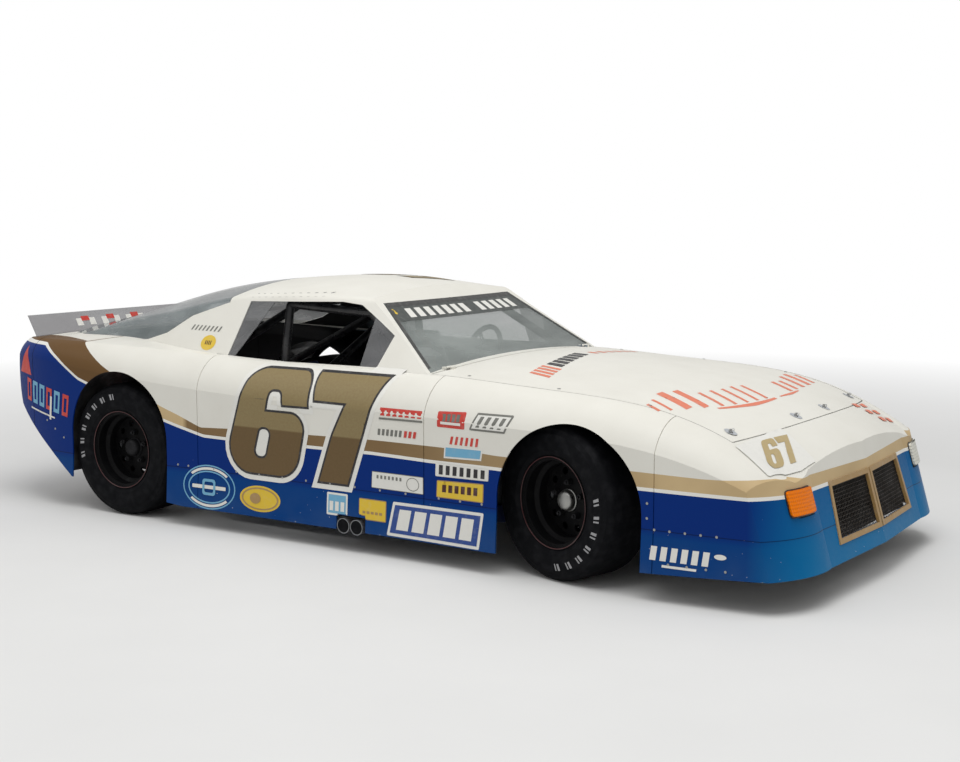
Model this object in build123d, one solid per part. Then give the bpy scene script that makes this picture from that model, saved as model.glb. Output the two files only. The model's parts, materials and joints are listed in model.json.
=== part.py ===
from build123d import *
import math
import os

# A short-track stock car: a tube-framed racing coupe with a thin panel body, wide slick tyres
# and an open driver's window. Millimetres, X forward, Y to the car's left, Z up.
# The origin lies on the ground, below the middle of the car.

# Running gear
wheelbase = 2667.0
front_axle_x = 1231.0
rear_axle_x = front_axle_x - wheelbase
tyre_radius = 346.0
tyre_width = 290.0
tread_width = 254.0
wheel_outer_y = 952.0
kingpin_y = 695.0
kingpin_to_outer = 240.0
rest_steer = -15.6
rim_lip_radius = 205.0
rim_bead_radius = 190.5
rim_wall = 8.0
rim_width = 266.0
rim_lip_run = 12.0
bead_inset = 7.0
rim_disc_depth = 120.0
hub_radius = 62.0
cap_radius = 48.0
bore_clearance = 0.4

# Body skin
panel = 7.0
panel_gap = 4.0
seat_gap = 0.3
nose_lean = 16.0
nose_foot_z = 150.0
# The front's plan at the foot of the nose: tip, end of the flat, corner bend, end of the corner
nose_outline = ((2342.0, 0.0), (2312.0, 590.0), (2258.0, 862.0), (2110.0, 1010.0))
skirt_crease_z = 300.0
skirt_flare = 14.0
nose_seam_x = 1690.0
door_front_x = 520.0
door_rear_x = -870.0
tail_seam_x = -2130.0
tail_x = -2342.0
belt_y = 797.0
belt_z = 848.0
front_arch = (1277.0, 346.0, 358.0)
rear_arch = (-1422.0, 418.0, 343.0)

# Body sections from tail to nose: x, height of the crown, then where the crown ends (y, z)
# and where the flank begins (y, z)
body_sections = (
    (-2430.0, 890.0, 640.0, 872.0, 765.0, 780.0),
    (-2080.0, 905.0, 850.0, 892.0, 928.0, 790.0),
    (-1435.0, 905.0, 855.0, 885.0, 978.0, 740.0),
    (-830.0, 888.0, 815.0, 862.0, 958.0, 700.0),
    (-100.0, 878.0, 800.0, 848.0, 953.0, 680.0),
    (460.0, 886.0, 792.0, 846.0, 957.0, 675.0),
    (900.0, 876.0, 786.0, 826.0, 972.0, 665.0),
    (1400.0, 828.0, 786.0, 797.0, 984.0, 650.0),
    (1800.0, 756.0, 780.0, 718.0, 976.0, 592.0),
    (2060.0, 668.0, 760.0, 600.0, 958.0, 505.0),
    (2380.0, 470.0, 700.0, 400.0, 915.0, 340.0),
)

# Cabin sections from tail to cowl: x, half width at the belt, then the roof rail (y, z)
# and the height of the roof's crown
cabin_sections = (
    (-2260.0, 682.0, 560.0, 900.0, 930.0),
    (-1950.0, 684.0, 560.0, 938.0, 1010.0),
    (-1515.0, 700.0, 560.0, 1030.0, 1128.0),
    (-1100.0, 786.0, 616.0, 1112.0, 1205.0),
    (-780.0, 801.0, 628.0, 1160.0, 1234.0),
    (-420.0, 801.0, 632.0, 1172.0, 1248.0),
    (-180.0, 801.0, 620.0, 1172.0, 1228.0),
    (20.0, 803.0, 604.0, 1164.0, 1184.0),
    (470.0, 808.0, 596.0, 1150.0, 1166.0),
)
cabin_base_z = 815.0
rail_round = 42.0
glass = 6.0
screen_base_x = 425.0
screen_bow = 32.0
screen_run = 1.47


def mirrored(shape):
    """The same piece on the other side of the car."""
    return mirror(shape, about=Plane.XZ)


def both_sides(shape):
    """A piece on the car's left and its twin on the right, as solids that do not touch."""
    return Compound(children=list(shape.solids()) + list(mirrored(shape).solids()))


def side_prism(points, y_low, y_high):
    """A side-view outline, as x and z, drawn out between two values of y."""
    face = make_face(Polyline(*[(x, y_low, z) for x, z in points], close=True))
    return extrude(face, amount=y_high - y_low, dir=(0, 1, 0))


def plan_prism(points, z_low, z_high):
    """A plan outline, as x and y, drawn out between two heights."""
    face = make_face(Polyline(*[(x, y, z_low) for x, y in points], close=True))
    return extrude(face, amount=z_high - z_low, dir=(0, 0, 1))


def block(x_low, x_high, y_low, y_high, z_low, z_high):
    """A box between two corners."""
    size = Box(x_high - x_low, y_high - y_low, z_high - z_low)
    return Pos((x_low + x_high) / 2, (y_low + y_high) / 2, (z_low + z_high) / 2) * size


def rod(start, end, radius):
    """A straight round bar from one point to another."""
    run = Vector(*end) - Vector(*start)
    return Solid.make_cylinder(radius, run.length, Plane(origin=start, z_dir=run))


def beam(start, end, width, height):
    """A straight square-cut bar from one point to another, its height nearest to upright."""
    run = Vector(*end) - Vector(*start)
    side = Vector(0, 0, 1).cross(run).normalized()
    plane = Plane(origin=start, x_dir=side, z_dir=run)
    return extrude(plane * Rectangle(width, height), amount=run.length)


def fused(pieces):
    """Pieces welded into one."""
    pieces = list(pieces)
    whole = pieces[0]
    return whole.fuse(*pieces[1:]) if len(pieces) > 1 else whole


def body_section(x, top_z, crown_y, crown_z, flank_y, flank_z, inset):
    """One closed slice of the lower body, drawn in by the inset."""
    low_z = 60.0 - 60.0 * (inset > 0)
    outer = flank_y - inset
    shoulder = Vector(crown_y - 0.6 * inset, crown_z - 0.9 * inset)
    flank = Vector(outer, flank_z)
    along = flank - shoulder
    bulge = Vector(-along.Y, along.X).normalized() * along.length * 0.14
    middle = (shoulder + flank) * 0.5 + bulge
    skirt = outer + skirt_flare
    crease = Vector(outer, skirt_crease_z)

    def at(y, z):
        return (x, y, z)

    edges = [
        Line(at(-skirt, low_z), at(skirt, low_z)),
        Line(at(skirt, low_z), at(crease.X, crease.Y)),
        Line(at(crease.X, crease.Y), at(flank.X, flank.Y)),
        ThreePointArc(at(flank.X, flank.Y), at(middle.X, middle.Y), at(shoulder.X, shoulder.Y)),
        ThreePointArc(at(shoulder.X, shoulder.Y), at(0, top_z - inset), at(-shoulder.X, shoulder.Y)),
        ThreePointArc(at(-shoulder.X, shoulder.Y), at(-middle.X, middle.Y), at(-flank.X, flank.Y)),
        Line(at(-flank.X, flank.Y), at(-crease.X, crease.Y)),
        Line(at(-crease.X, crease.Y), at(-skirt, low_z)),
    ]
    return make_face(edges)


def nose_prism(inset):
    """Everything behind the leaning, pointed front face."""
    lean = math.tan(math.radians(nose_lean))
    step = inset / math.cos(math.radians(nose_lean))
    low_z, high_z = -50.0, 1100.0
    shift = (nose_foot_z - low_z) * lean - step

    def at(x, y):
        return (x + shift, y, low_z)

    tip, knee, bend, side = nose_outline
    edges = []
    for sign in (1, -1):
        edges.append(Line(at(tip[0], 0), at(knee[0], sign * knee[1])))
        edges.append(ThreePointArc(at(knee[0], sign * knee[1]), at(bend[0], sign * bend[1]),
                                   at(side[0], sign * side[1])))
        edges.append(Line(at(side[0], sign * side[1]), at(1700, sign * 1200)))
        edges.append(Line(at(1700, sign * 1200), at(-3000, sign * 1200)))
    edges.append(Line(at(-3000, 1200), at(-3000, -1200)))
    face = make_face(edges)
    return extrude(face, amount=(high_z - low_z) / math.cos(math.radians(nose_lean)), dir=(-lean, 0, 1))


def side_trim(inset):
    """The side view's lower edge and rounded tail."""
    rear = tail_x + inset
    open_z = -400.0 if inset > 0 else 0.0
    lower = [
        Line((2600, 0, 158 + open_z), (1620, 0, 116 + open_z)),
        Line((1620, 0, 116 + open_z), (880, 0, 102 + open_z)),
        Line((880, 0, 102 + open_z), (-975, 0, 102 + open_z)),
        Line((-975, 0, 102 + open_z), (-1770, 0, 176 + open_z)),
        Line((-1770, 0, 176 + open_z), (rear + 50 + open_z, 0, 519 + open_z)),
    ]
    if inset > 0:
        lower[-1] = Line((-1770, 0, 176 + open_z), (rear + 60, 0, 0 + open_z))
        lower.append(Line((rear + 60, 0, 0 + open_z), (rear + 50, 0, 519)))
    tail = [
        ThreePointArc((rear + 50, 0, 519), (rear, 0, 684), (rear + 30, 0, 850)),
        Line((rear + 30, 0, 850), (rear + 40, 0, 1100)),
        Line((rear + 40, 0, 1100), (2600, 0, 1100)),
        Line((2600, 0, 1100), (2600, 0, 158 + open_z)),
    ]
    face = make_face(lower + tail)
    return extrude(Pos(0, -1200, 0) * face, amount=2400, dir=(0, 1, 0))


def body_form(inset):
    """The lower body as one closed form: outer skin at no inset, inner skin at the panel's."""
    form = loft([body_section(*row, inset) for row in body_sections])
    return form & nose_prism(inset) & side_trim(inset)


def cabin_section(x, base_y, rail_y, rail_z, top_z, inset):
    """One closed slice of the cabin above the belt."""
    base, rail, rise = base_y - inset, rail_y - 0.8 * inset, rail_z - inset
    edges = [
        Line((x, -base, cabin_base_z), (x, base, cabin_base_z)),
        Line((x, base, cabin_base_z), (x, rail, rise)),
        ThreePointArc((x, rail, rise), (x, 0, top_z - inset), (x, -rail, rise)),
        Line((x, -rail, rise), (x, -base, cabin_base_z)),
    ]
    face = make_face(edges)
    top = sorted(face.vertices(), key=lambda v: v.Z)[-2:]
    return fillet(top, rail_round)


def screen_prism(inset):
    """Everything behind the bowed, sloping windscreen."""
    step = inset * math.hypot(1, screen_run)
    x = screen_base_x - step
    edge = ThreePointArc((x, -belt_y, belt_z), (x + screen_bow, 0, belt_z), (x, belt_y, belt_z))
    rest = Polyline((x, belt_y, belt_z), (x - 60, 1000, belt_z), (-3000, 1000, belt_z),
                    (-3000, -1000, belt_z), (x - 60, -1000, belt_z), (x, -belt_y, belt_z))
    face = make_face([edge] + rest.edges())
    drop = 60.0
    face = Pos(drop * screen_run, 0, -drop) * face
    return extrude(face, amount=600 * math.hypot(1, screen_run), dir=(-screen_run, 0, 1))


def cabin_form(inset):
    """The cabin above the belt as one closed form."""
    form = loft([cabin_section(*row, inset) for row in cabin_sections])
    return form & screen_prism(inset)


def arch_cut(arch, y_low, y_high):
    """A wheel opening: a round top on straight sides, through one flank."""
    x, z, radius = arch
    round_top = Pos(x, 0, z) * (Rot(90, 0, 0) * Circle(radius))
    top = extrude(Pos(0, y_low, 0) * round_top, amount=y_high - y_low, dir=(0, 1, 0))
    return top + block(x - radius, x + radius, y_low, y_high, -10, z)


# Hood outline and hinge
hood_half = 782.0
hood_rear_x = 436.0
hood_front_x = 1945.0
hood_front_bow = 85.0
cowl_x = 385.0
hood_gap = 5.0
hood_rear_gap = 9.0
hinge_x = 449.0
hinge_y = 640.0


def hood_prism(gap, rear_gap):
    """The hood's plan outline through the top skin, drawn in by the gaps."""
    half, front, rear = hood_half - gap, hood_front_x - gap, hood_rear_x + rear_gap
    edges = [
        ThreePointArc((front, half, 560), (front + hood_front_bow, 0, 560), (front, -half, 560)),
        Line((front, -half, 560), (rear, -half, 560)),
        ThreePointArc((rear, -half, 560), (rear + screen_bow, 0, 560), (rear, half, 560)),
        Line((rear, half, 560), (front, half, 560)),
    ]
    return extrude(make_face(edges), amount=400, dir=(0, 0, 1))


def cabin_opening():
    """The cabin's hole through the top of the body, narrower under the rear window."""
    side = belt_y - 22.0
    outline = ((cowl_x, side), (-900.0, side), (-1120.0, 600.0), (-2000.0, 600.0))
    points = list(outline) + [(x, -y) for x, y in reversed(outline)]
    return plan_prism(points, 560, 1200)


# Grille openings in the front face, one each side of the centre bar
grille_bar = 26.0
grille_half_top = 418.0
grille_half_foot = 446.0
grille_low = 236.0
grille_high = 452.0


def grille_window(inset):
    """The two grille openings, drawn in all round by the inset."""
    points = (
        (2100.0, grille_bar + inset, grille_low + inset),
        (2100.0, grille_half_foot - inset, grille_low + inset),
        (2100.0, grille_half_top - inset, grille_high - inset),
        (2100.0, grille_bar + inset, grille_high - inset),
    )
    return both_sides(extrude(make_face(Polyline(*points, close=True)), amount=400, dir=(1, 0, 0)))


# Joggled flanges: how far each runs under its own panel and under its neighbour's edge
flange_own = 16.0
flange_lap = 14.0
flange_sheet = 4.0
# Seam, which side of it carries the flange, and the panel that it belongs to
seam_flanges = (
    (nose_seam_x, -1, "fender"),
    (door_front_x, 1, "fender"),
    (door_rear_x, -1, "quarter"),
    (tail_seam_x, 1, "quarter"),
)


def add_flanges(panels, inner, hole):
    """Give each seam the stepped strip that its neighbour's edge lies on."""
    back = body_form(panel + flange_sheet)
    root, lap = body_form(panel - 2) - back, body_form(panel + seat_gap) - back
    for x, own, name in seam_flanges:
        spans = sorted((x, x + own * flange_own)), sorted((x, x - own * flange_lap))
        strips = []
        for form, (low, high) in zip((root, lap), spans):
            strips.append(form & block(low, high, -1300, 1300, -50, 1300))
        strip = ((strips[0] + strips[1]) & side_trim(0)) - hole
        for side, low, high in (("left", 1, 1300), ("right", -1300, -1)):
            panels[name + "_" + side] += strip & block(-3000, 3000, low, high, -50, 1300)


def skin_panels():
    """The painted lower body, cut into its panels."""
    outer, inner = body_form(0), body_form(panel)
    skin = outer - inner
    for arch in (front_arch, rear_arch):
        skin = skin - arch_cut(arch, 600, 1200) - arch_cut(arch, -1200, -600)
    skin = skin - pipe_notch()
    skin = skin - grille_window(0)
    gap = panel_gap / 2
    top = hood_prism(0, 0)
    hood_skin = skin & hood_prism(hood_gap, hood_rear_gap)
    skin = skin - top - cabin_opening()
    cowl_half = belt_y - 2 * seat_gap
    cowl_zone = block(cowl_x - 10, door_front_x - gap, -cowl_half, cowl_half, 600, 1300)
    cowl = skin & cowl_zone
    skin = skin - block(cowl_x - 10, door_front_x + gap, -belt_y, belt_y, 600, 1300)
    nose = skin & block(nose_seam_x + gap, 2600, -1300, 1300, -50, 1300)
    tail = skin & block(-2600, tail_seam_x - gap, -1300, 1300, -50, 1300)
    side_rows = (
        ("fender", door_front_x + gap, nose_seam_x - gap),
        ("door", door_rear_x + gap, door_front_x - gap),
        ("quarter", tail_seam_x + gap, door_rear_x - gap),
    )
    panels = {"nose_cover": nose, "tail_cover": tail, "hood": hood_skin, "cowl_panel": cowl}
    for name, x_low, x_high in side_rows:
        for side, y_low, y_high in (("left", 0, 1300), ("right", -1300, 0)):
            piece = skin & block(x_low, x_high, y_low, y_high, -50, 1300)
            panels[name + "_" + side] = piece
    middle = block(cowl_x - 40, 2300, -belt_y, belt_y, 500, 1300)
    middle = middle + block(tail_seam_x - 40, 2300, -1, 1, 500, 1300)
    add_flanges(panels, inner, middle + cabin_opening())
    return panels, outer, inner


# Cabin openings in side view, as x and z
rear_glass_x = -2195.0
side_window = ((123.0, 858.0), (-826.0, 850.0), (-780.0, 1132.0), (-190.0, 1150.0),
               (-75.0, 1138.0), (163.0, 1005.0))
rear_pane = ((-600.0, 1160.0), (-900.0, 1160.0), (-900.0, 840.0), (-790.0, 840.0))
rear_split = ((-930.0, 1330.0), (-930.0, 1120.0), (-1190.0, 1040.0), (-1361.0, 944.0), (-1521.0, 900.0),
              (rear_glass_x, 850.0), (rear_glass_x, 1330.0))
vent_x = 20.0


def cabin_shells(body_outer):
    """Roof, windscreen, rear window and the fixed side panes."""
    outer, inner = cabin_form(0), cabin_form(panel)
    shell = (outer - Pos(0, 0, -1) * inner) & block(rear_glass_x, 700, -1000, 1000, 700, 1400)
    lid = Pos(0, 0, seat_gap) * body_outer
    shell = shell - lid
    # The windscreen is the strip of shell that the sloping cut made, inside its painted edge
    pane_outer = cabin_form(0) & block(-600, 700, -1000, 1000, 700, 1400)
    behind = screen_prism(panel + 0.5)
    screen_skin = (pane_outer - behind) - lid
    frame_cut = screen_window(0)
    screen = screen_skin & screen_window(seat_gap)
    rear_zone = side_prism(rear_split, -1000, 1000)
    rear = shell & Pos(-panel_gap, 0, 0) * rear_zone
    roof = shell - rear_zone - frame_cut
    windows = side_prism(side_window, 500, 1000) + side_prism(side_window, -1000, -500)
    panes = pane_form(lid) & windows
    roof = roof - windows
    vents = panes & block(vent_x, 400, -1000, 1000, 700, 1300)
    rear_panes = panes & side_prism(rear_pane, -1000, 1000)
    return {"roof_shell": roof, "windshield": screen, "rear_glass": rear,
            "side_glass": Compound(children=list(vents.solids()) + list(rear_panes.solids()))}


def screen_window(inset):
    """The windscreen's opening, drawn in by the inset, as a prism along its slope."""
    half_foot, half_top, foot, top = 790.0 - inset, 566.0 - inset, 815.0, 1146.0 - inset
    face = make_face(Polyline((0, half_foot, foot), (0, half_top, top), (0, -half_top, top),
                              (0, -half_foot, foot), close=True))
    return extrude(Pos(-400, 0, 0) * face, amount=1200, dir=(1, 0, 0))


def pane_form(lid):
    """The side panes' thin shell, flush with the cabin's inner skin."""
    return (cabin_form(1.0) - cabin_form(glass)) - lid


# Front suspension, in millimetres from the hub: fore and aft, sideways, up
arm_spread = 150.0
arm_radius = 13.0
leg_radius = 10.0
shock_foot_y = 560.0

# Steering knuckle, in millimetres from the kingpin at the hub's height
upright_half = 24.0
upright_low = -140.0
upright_high = 140.0
ball_gap = 0.3
arm_reach = 55.0
arm_inboard = 12.0
arm_top = -54.0
arm_low = -66.0
spindle_end = 106.0
rack_x = front_axle_x + 85.0
rack_half = 300.0
rack_radius = 22.0
tie_radius = 9.0
tie_ball = 10.0

# Brakes and spindles
spindle_radius = 20.0
rotor_radius = 126.0
disc_wall = 8.0

# Frame, cage and floor
rail_y = 690.0
rail_width = 76.0
rail_low = 170.0
rail_high = 250.0
rail_rear_x = -840.0
rail_front_x = 770.0
clip_y = 350.0
clip_z = 190.0
rear_clip_y = 430.0
rear_clip_z = 500.0
rail_height = rail_high - rail_low
clip_seams = (rail_rear_x - 22.0, rail_front_x + 70.0)
tower_x = front_axle_x - 125.0
tower_radius = 20.0
tower_z = 560.0
shock_x = rear_axle_x + 60.0
shock_y = 560.0
shock_bar_z = 660.0
floor_sheet = 3.0
floor_z = rail_high + seat_gap
floor_top = floor_z + floor_sheet
floor_half = rail_y + rail_width / 2
tunnel_half = 130.0
tunnel_top = 440.0
firewall_x = 740.0
cage_radius = 22.0
hoop_x = -600.0
axle_z = tyre_radius
arm_pivot_y = clip_y + rail_width / 2 + arm_radius + seat_gap
tower_y = arm_pivot_y - arm_radius - seat_gap - tower_radius
rack_z = axle_z + arm_low - ball_gap - 24


def rail_run(points, width, height):
    """A welded run of box tube through the given centre points."""
    legs = [beam(a, b, width, height) for a, b in zip(points, points[1:])]
    knees = [Pos(*p) * Box(width, width, height) for p in points[1:-1]]
    return fused(legs + knees)


# Body brackets: place along each rail, and the nose brackets' distance from the middle
bracket_radius = 8.0
door_brackets = (-700.0, 250.0)
nose_bracket_y = 280.0


def body_brackets(inner):
    """Struts from the rails to the inside of the doors and of the nose."""
    struts = []
    for side in (1, -1):
        for x in door_brackets:
            z = rail_high - 40
            hits = inner.find_intersection_points(Axis((x, 0, z), (0, side, 0)))
            end = max(side * point.Y for point, _ in hits) - 3 * seat_gap
            struts.append(rod((x, side * (rail_y + 20), z), (x, side * end, z), bracket_radius))
        y = side * nose_bracket_y
        hits = inner.find_intersection_points(Axis((0, y, clip_z), (1, 0, 0)))
        slant = bracket_radius * math.tan(math.radians(nose_lean))
        end = max(point.X for point, _ in hits) - slant - seat_gap
        struts.append(rod((radiator_x, y, clip_z), (end, y, clip_z), bracket_radius))
    return struts


def chassis_frame(outer, inner):
    """The ladder of box tube with its front and rear clips, cross tubes and hood pins."""
    middle = (rail_low + rail_high) / 2
    main = (
        (-1930.0, rear_clip_y, rear_clip_z),
        (-1100.0, rear_clip_y, rear_clip_z),
        (-930.0, rear_clip_y + 40, middle + 90),
        (rail_rear_x, rail_y - 60, middle),
        (rail_rear_x + 60, rail_y, middle),
        (rail_front_x - 60, rail_y, middle),
        (rail_front_x + 30, clip_y + 60, clip_z),
        (rail_front_x + 110, clip_y, clip_z),
        (1860.0, clip_y, clip_z),
    )
    left = rail_run(main, rail_width, rail_height)
    crosses = (
        (front_axle_x, clip_y, clip_z - 10, 60.0, 50.0),
        (radiator_x, clip_y, clip_z, 50.0, 50.0),
        (-400.0, rail_y, 185.0, 50.0, 40.0),
        (-1900.0, rear_clip_y, rear_clip_z, 50.0, 60.0),
        (-1090.0, rear_clip_y, rear_clip_z, 50.0, 60.0),
    )
    bars = [beam((x, -y, z), (x, y, z), width, height) for x, y, z, width, height in crosses]
    hoop = [
        rod((1835.0, clip_y, clip_z), (1900.0, 420.0, pin_bar_z), 16.0),
        rod((1835.0, -clip_y, clip_z), (1900.0, -420.0, pin_bar_z), 16.0),
        rod((1900.0, -pin_rows[0][1] - 20, pin_bar_z), (1900.0, pin_rows[0][1] + 20, pin_bar_z), 16.0),
        rod((1900.0, 0, pin_bar_z), (pin_rows[1][0] - 10, 0, pin_bar_z), 14.0),
        rod((pin_rows[1][0], -pin_rows[1][1] - 20, pin_bar_z),
            (pin_rows[1][0], pin_rows[1][1] + 20, pin_bar_z), 14.0),
    ]
    pins = []
    for x, y in pin_rows:
        top = skin_height(outer, x, y) + pin_rise
        pins += [rod((x, side * y, pin_bar_z), (x, side * y, top), pin_radius) for side in (-1, 1)]
    towers = []
    for side in (1, -1):
        foot, head = (tower_x, side * tower_y, clip_z + 20), (tower_x, side * tower_y, tower_z)
        front_foot, front_head = ((2 * front_axle_x - x, y, z) for x, y, z in (foot, head))
        towers += [rod(foot, head, tower_radius), rod(front_foot, front_head, tower_radius)]
        towers.append(rod((tower_x - 20, side * tower_y, tower_z),
                          (2 * front_axle_x - tower_x + 20, side * tower_y, tower_z), tower_radius))
        towers.append(rod((shock_x, side * rear_clip_y, 520),
                          (shock_x, side * rear_clip_y, shock_bar_z), 20.0))
        towers.append(block(rail_rear_x - 20, rail_rear_x + 40, side * 640 - 20, side * 640 + 20, 112, 180))
        saddle = sorted((side * (clip_y - rail_width / 2 - 22), side * clip_y))
        towers.append(block(rack_x - 20, rack_x + 20, saddle[0], saddle[1],
                            clip_z, rack_z - rack_radius - seat_gap))
        strap_y = sorted((side * (rail_y - 20), side * (rail_y + 20)))
        if side < 0:
            towers += [block(x - 18, x + 18, strap_y[0], strap_y[1], rail_low - pipe_strap, rail_low + 10)
                       for x, _ in pipe_rows]
    towers.append(rod((shock_x, -600, shock_bar_z), (shock_x, 600, shock_bar_z), 20.0))
    return fused([left, mirrored(left)] + bars + hoop + pins + towers + body_brackets(inner))


def frame_parts(frame):
    """The welded frame as its rear clip, main rails and front clip."""
    rear, front = clip_seams
    zones = (("rear_clip", -3000.0, rear), ("chassis_frame", rear, front), ("front_clip", front, 3000.0))
    return {name: frame & block(low, high, -1500, 1500, 0, 1500) for name, low, high in zones}


# Hood pins, outer pair then inner pair, as x and y, on a bar behind the nose
pin_rows = ((1900.0, 700.0), (1975.0, 170.0))
pin_bar_z = 520.0
pin_radius = 6.0
pin_rise = 14.0
pin_hole = 10.0


def skin_height(outer, x, y):
    """How high the outer skin is above a point of the plan."""
    hits = outer.find_intersection_points(Axis((x, y, 0), (0, 0, 1)))
    return max(point.Z for point, _ in hits)


# Roll cage joints on the left side, as x, y and z
cage_nodes = {
    "hoop_foot": (hoop_x, 700.0, rail_high - 20),
    "hoop_top": (hoop_x, 545.0, 1118.0),
    "pillar_foot": (560.0, 700.0, rail_high - 20),
    "pillar_knee": (330.0, 705.0, 815.0),
    "pillar_top": (-75.0, 545.0, 1092.0),
    "stay_foot": (-1740.0, rear_clip_y, 530.0),
    "stay_top": (hoop_x + 6, 474.0, 1115.0),
    "door_rear_top": (hoop_x, 668.0, 620.0),
    "door_front_top": (470.0, 702.0, 500.0),
    "door_rear_low": (hoop_x, 690.0, 420.0),
    "door_front_low": (530.0, 700.0, 350.0),
}
cage_bars = (
    ("hoop_foot", "hoop_top"), ("pillar_foot", "pillar_knee"), ("pillar_knee", "pillar_top"),
    ("pillar_top", "hoop_top"), ("stay_top", "stay_foot"),
    ("door_rear_top", "door_front_top"), ("door_rear_low", "door_front_low"),
)
cage_crosses = ("hoop_top", "pillar_top", "pillar_knee")


def roll_cage(grow=0.0):
    """The cage of round tube round the driver, with its rear stays and door bars."""
    radius = cage_radius + grow
    side = [rod(cage_nodes[a], cage_nodes[b], radius) for a, b in cage_bars]
    left = fused(side)
    cross = []
    for name in cage_crosses:
        x, y, z = cage_nodes[name]
        cross.append(rod((x, -y, z), (x, y, z), radius))
    x, y, z = cage_nodes["hoop_top"]
    cross.append(rod((x, y - 24, z - 4), (x, -645.0, 568.0), radius))
    cross.append(rod((x, -650.0, 560.0), (x, 650.0, 560.0), radius))
    cage = fused([left, mirrored(left)] + cross)
    under = block(-900, 900, -900, 900, 100, floor_top + seat_gap)
    under_stay = block(-1900, -1400, -900, 900, 300, rear_clip_z + rail_height / 2 + seat_gap)
    return cage - under - under_stay


def floor_pan(outer):
    """Sheet floor with its tunnel, firewall and rear bulkhead."""
    base = floor_z
    rear, front = rail_rear_x + 45, firewall_x
    floor = block(rear, front, -floor_half, floor_half, base, base + floor_sheet)
    floor = floor - block(rear, front, -tunnel_half, tunnel_half, base - 5, base + 10)
    tunnel = block(rear, front, -tunnel_half - floor_sheet, tunnel_half + floor_sheet, base, tunnel_top)
    tunnel = tunnel - block(rear, front, -tunnel_half, tunnel_half, base - 5, tunnel_top - floor_sheet)
    wall_top = 770.0
    wall = block(front - floor_sheet, front, -floor_half, floor_half, base, wall_top)
    wall = wall - block(front - 10, front + 5, -tunnel_half, tunnel_half,
                        base - 5, tunnel_top - floor_sheet)
    back = block(rear, rear + floor_sheet, -floor_half + 20, floor_half - 20, base, 640)
    back = back - block(rear - 5, rear + 10, -tunnel_half, tunnel_half, base - 5, tunnel_top - floor_sheet)
    shelf = block(cowl_x + 60, front, -floor_half + 30, floor_half - 30, wall_top - floor_sheet, wall_top)
    return fused([floor, tunnel, wall, back, shelf])


def engine_block():
    """The engine as one plain form at its real place, with the gearbox behind it."""
    lower = block(790, 1290, -150, 150, 235, 520)
    bank = Pos(1040, 0, 400) * Rot(40, 0, 0) * Pos(0, 0, 150) * Box(500, 190, 230)
    banks = bank + mirrored(bank)
    banks = banks & block(790, 1290, -300, 300, 235, 700)
    intake = block(880, 1200, -90, 90, 500, 660)
    cleaner = Pos(1040, 0, 690) * Cylinder(180, 70)
    gearbox = block(260, 800, -95, 95, 225, 410)
    return fused([lower, banks, intake, cleaner, gearbox])


radiator_x = 1840.0


def radiator():
    """The core behind the grille, standing on the front cross tube."""
    foot = clip_z + 25 + seat_gap
    return block(radiator_x - 25, radiator_x + 25, -310, 310, foot, foot + 270)


def fuel_cell():
    """The fuel box between the rear rails."""
    half = rear_clip_y - rail_width / 2 - seat_gap
    return block(-1868, -1660, -half, half, 300, 560)


def wheel_plane(side, front, w):
    """Where a wheel's outboard coordinate w lies: side is 1 on the left, -1 on the right."""
    if front:
        kingpin = Pos(front_axle_x, side * kingpin_y, axle_z) * Rot(0, 0, rest_steer)
        return kingpin * Pos(0, side * (kingpin_to_outer + w), 0)
    return Pos(rear_axle_x, side * (wheel_outer_y + w), axle_z)


def turned(profile, front, side):
    """A ring turned from a profile of outboard place and radius, on its wheel's axis."""
    face = make_face(Polyline(*[(0, side * w, r) for w, r in profile], close=True))
    ring = revolve(face, Axis((0, 0, 0), (0, 1, 0)), 360)
    return wheel_plane(side, front, 0) * ring


def tyre_profile():
    """The tyre's wall from bead to tread and back."""
    middle = -tyre_width / 2
    half, tread = tyre_width / 2, tread_width / 2
    bead = rim_width / 2 - rim_lip_run - bead_inset
    seat = rim_bead_radius + seat_gap
    outer = [(bead, seat), (half, 262.0), (half - 9, tyre_radius - 21), (tread - 9, tyre_radius)]
    inner = [(tread - 13, tyre_radius - 14), (bead - 22, seat)]
    loop = outer + [(-w, r) for w, r in reversed(outer)]
    loop += [(-w, r) for w, r in reversed(inner)] + inner
    return [(middle + w, r) for w, r in loop]


def rim_profile():
    """The wheel's pressed wall, from lip to bead seat to lip."""
    middle, half, flat = -tyre_width / 2, rim_width / 2, rim_width / 2 - rim_lip_run
    lip, bead = rim_lip_radius, rim_bead_radius
    outside = ((half, lip), (flat, lip), (flat, bead))
    inside = ((flat - rim_wall, bead - rim_wall), (half, lip - rim_wall))
    ring = [(w, r) for w, r in outside] + [(-w, r) for w, r in reversed(outside)]
    ring += [(-w, r) for w, r in reversed(inside)] + list(inside)
    return [(middle + w, r) for w, r in ring]


def rim(side, front):
    """A wide steel wheel with its centre disc, hub, dust cap and brake rotor."""
    shell = turned(rim_profile(), front, side)
    barrel = rim_bead_radius - rim_wall + 1
    face = -rim_disc_depth
    bore = spindle_radius + bore_clearance
    centre = turned(((face, cap_radius - 4), (face, barrel), (face - disc_wall, barrel),
                     (face - disc_wall, bore), (face + 4, bore), (face + 4, 0), (face + 12, 0),
                     (face + 12, cap_radius - 8), (face + 2, cap_radius)), front, side)
    hub = turned(((face - 6, bore), (face - 6, hub_radius), (face - 48, hub_radius),
                  (face - 48, rotor_radius), (face - 68, rotor_radius), (face - 68, bore)), front, side)
    return shell.fuse(centre, hub)


def tyre(side, front):
    """A wide racing tyre on its wheel."""
    return turned(tyre_profile(), front, side)


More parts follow.
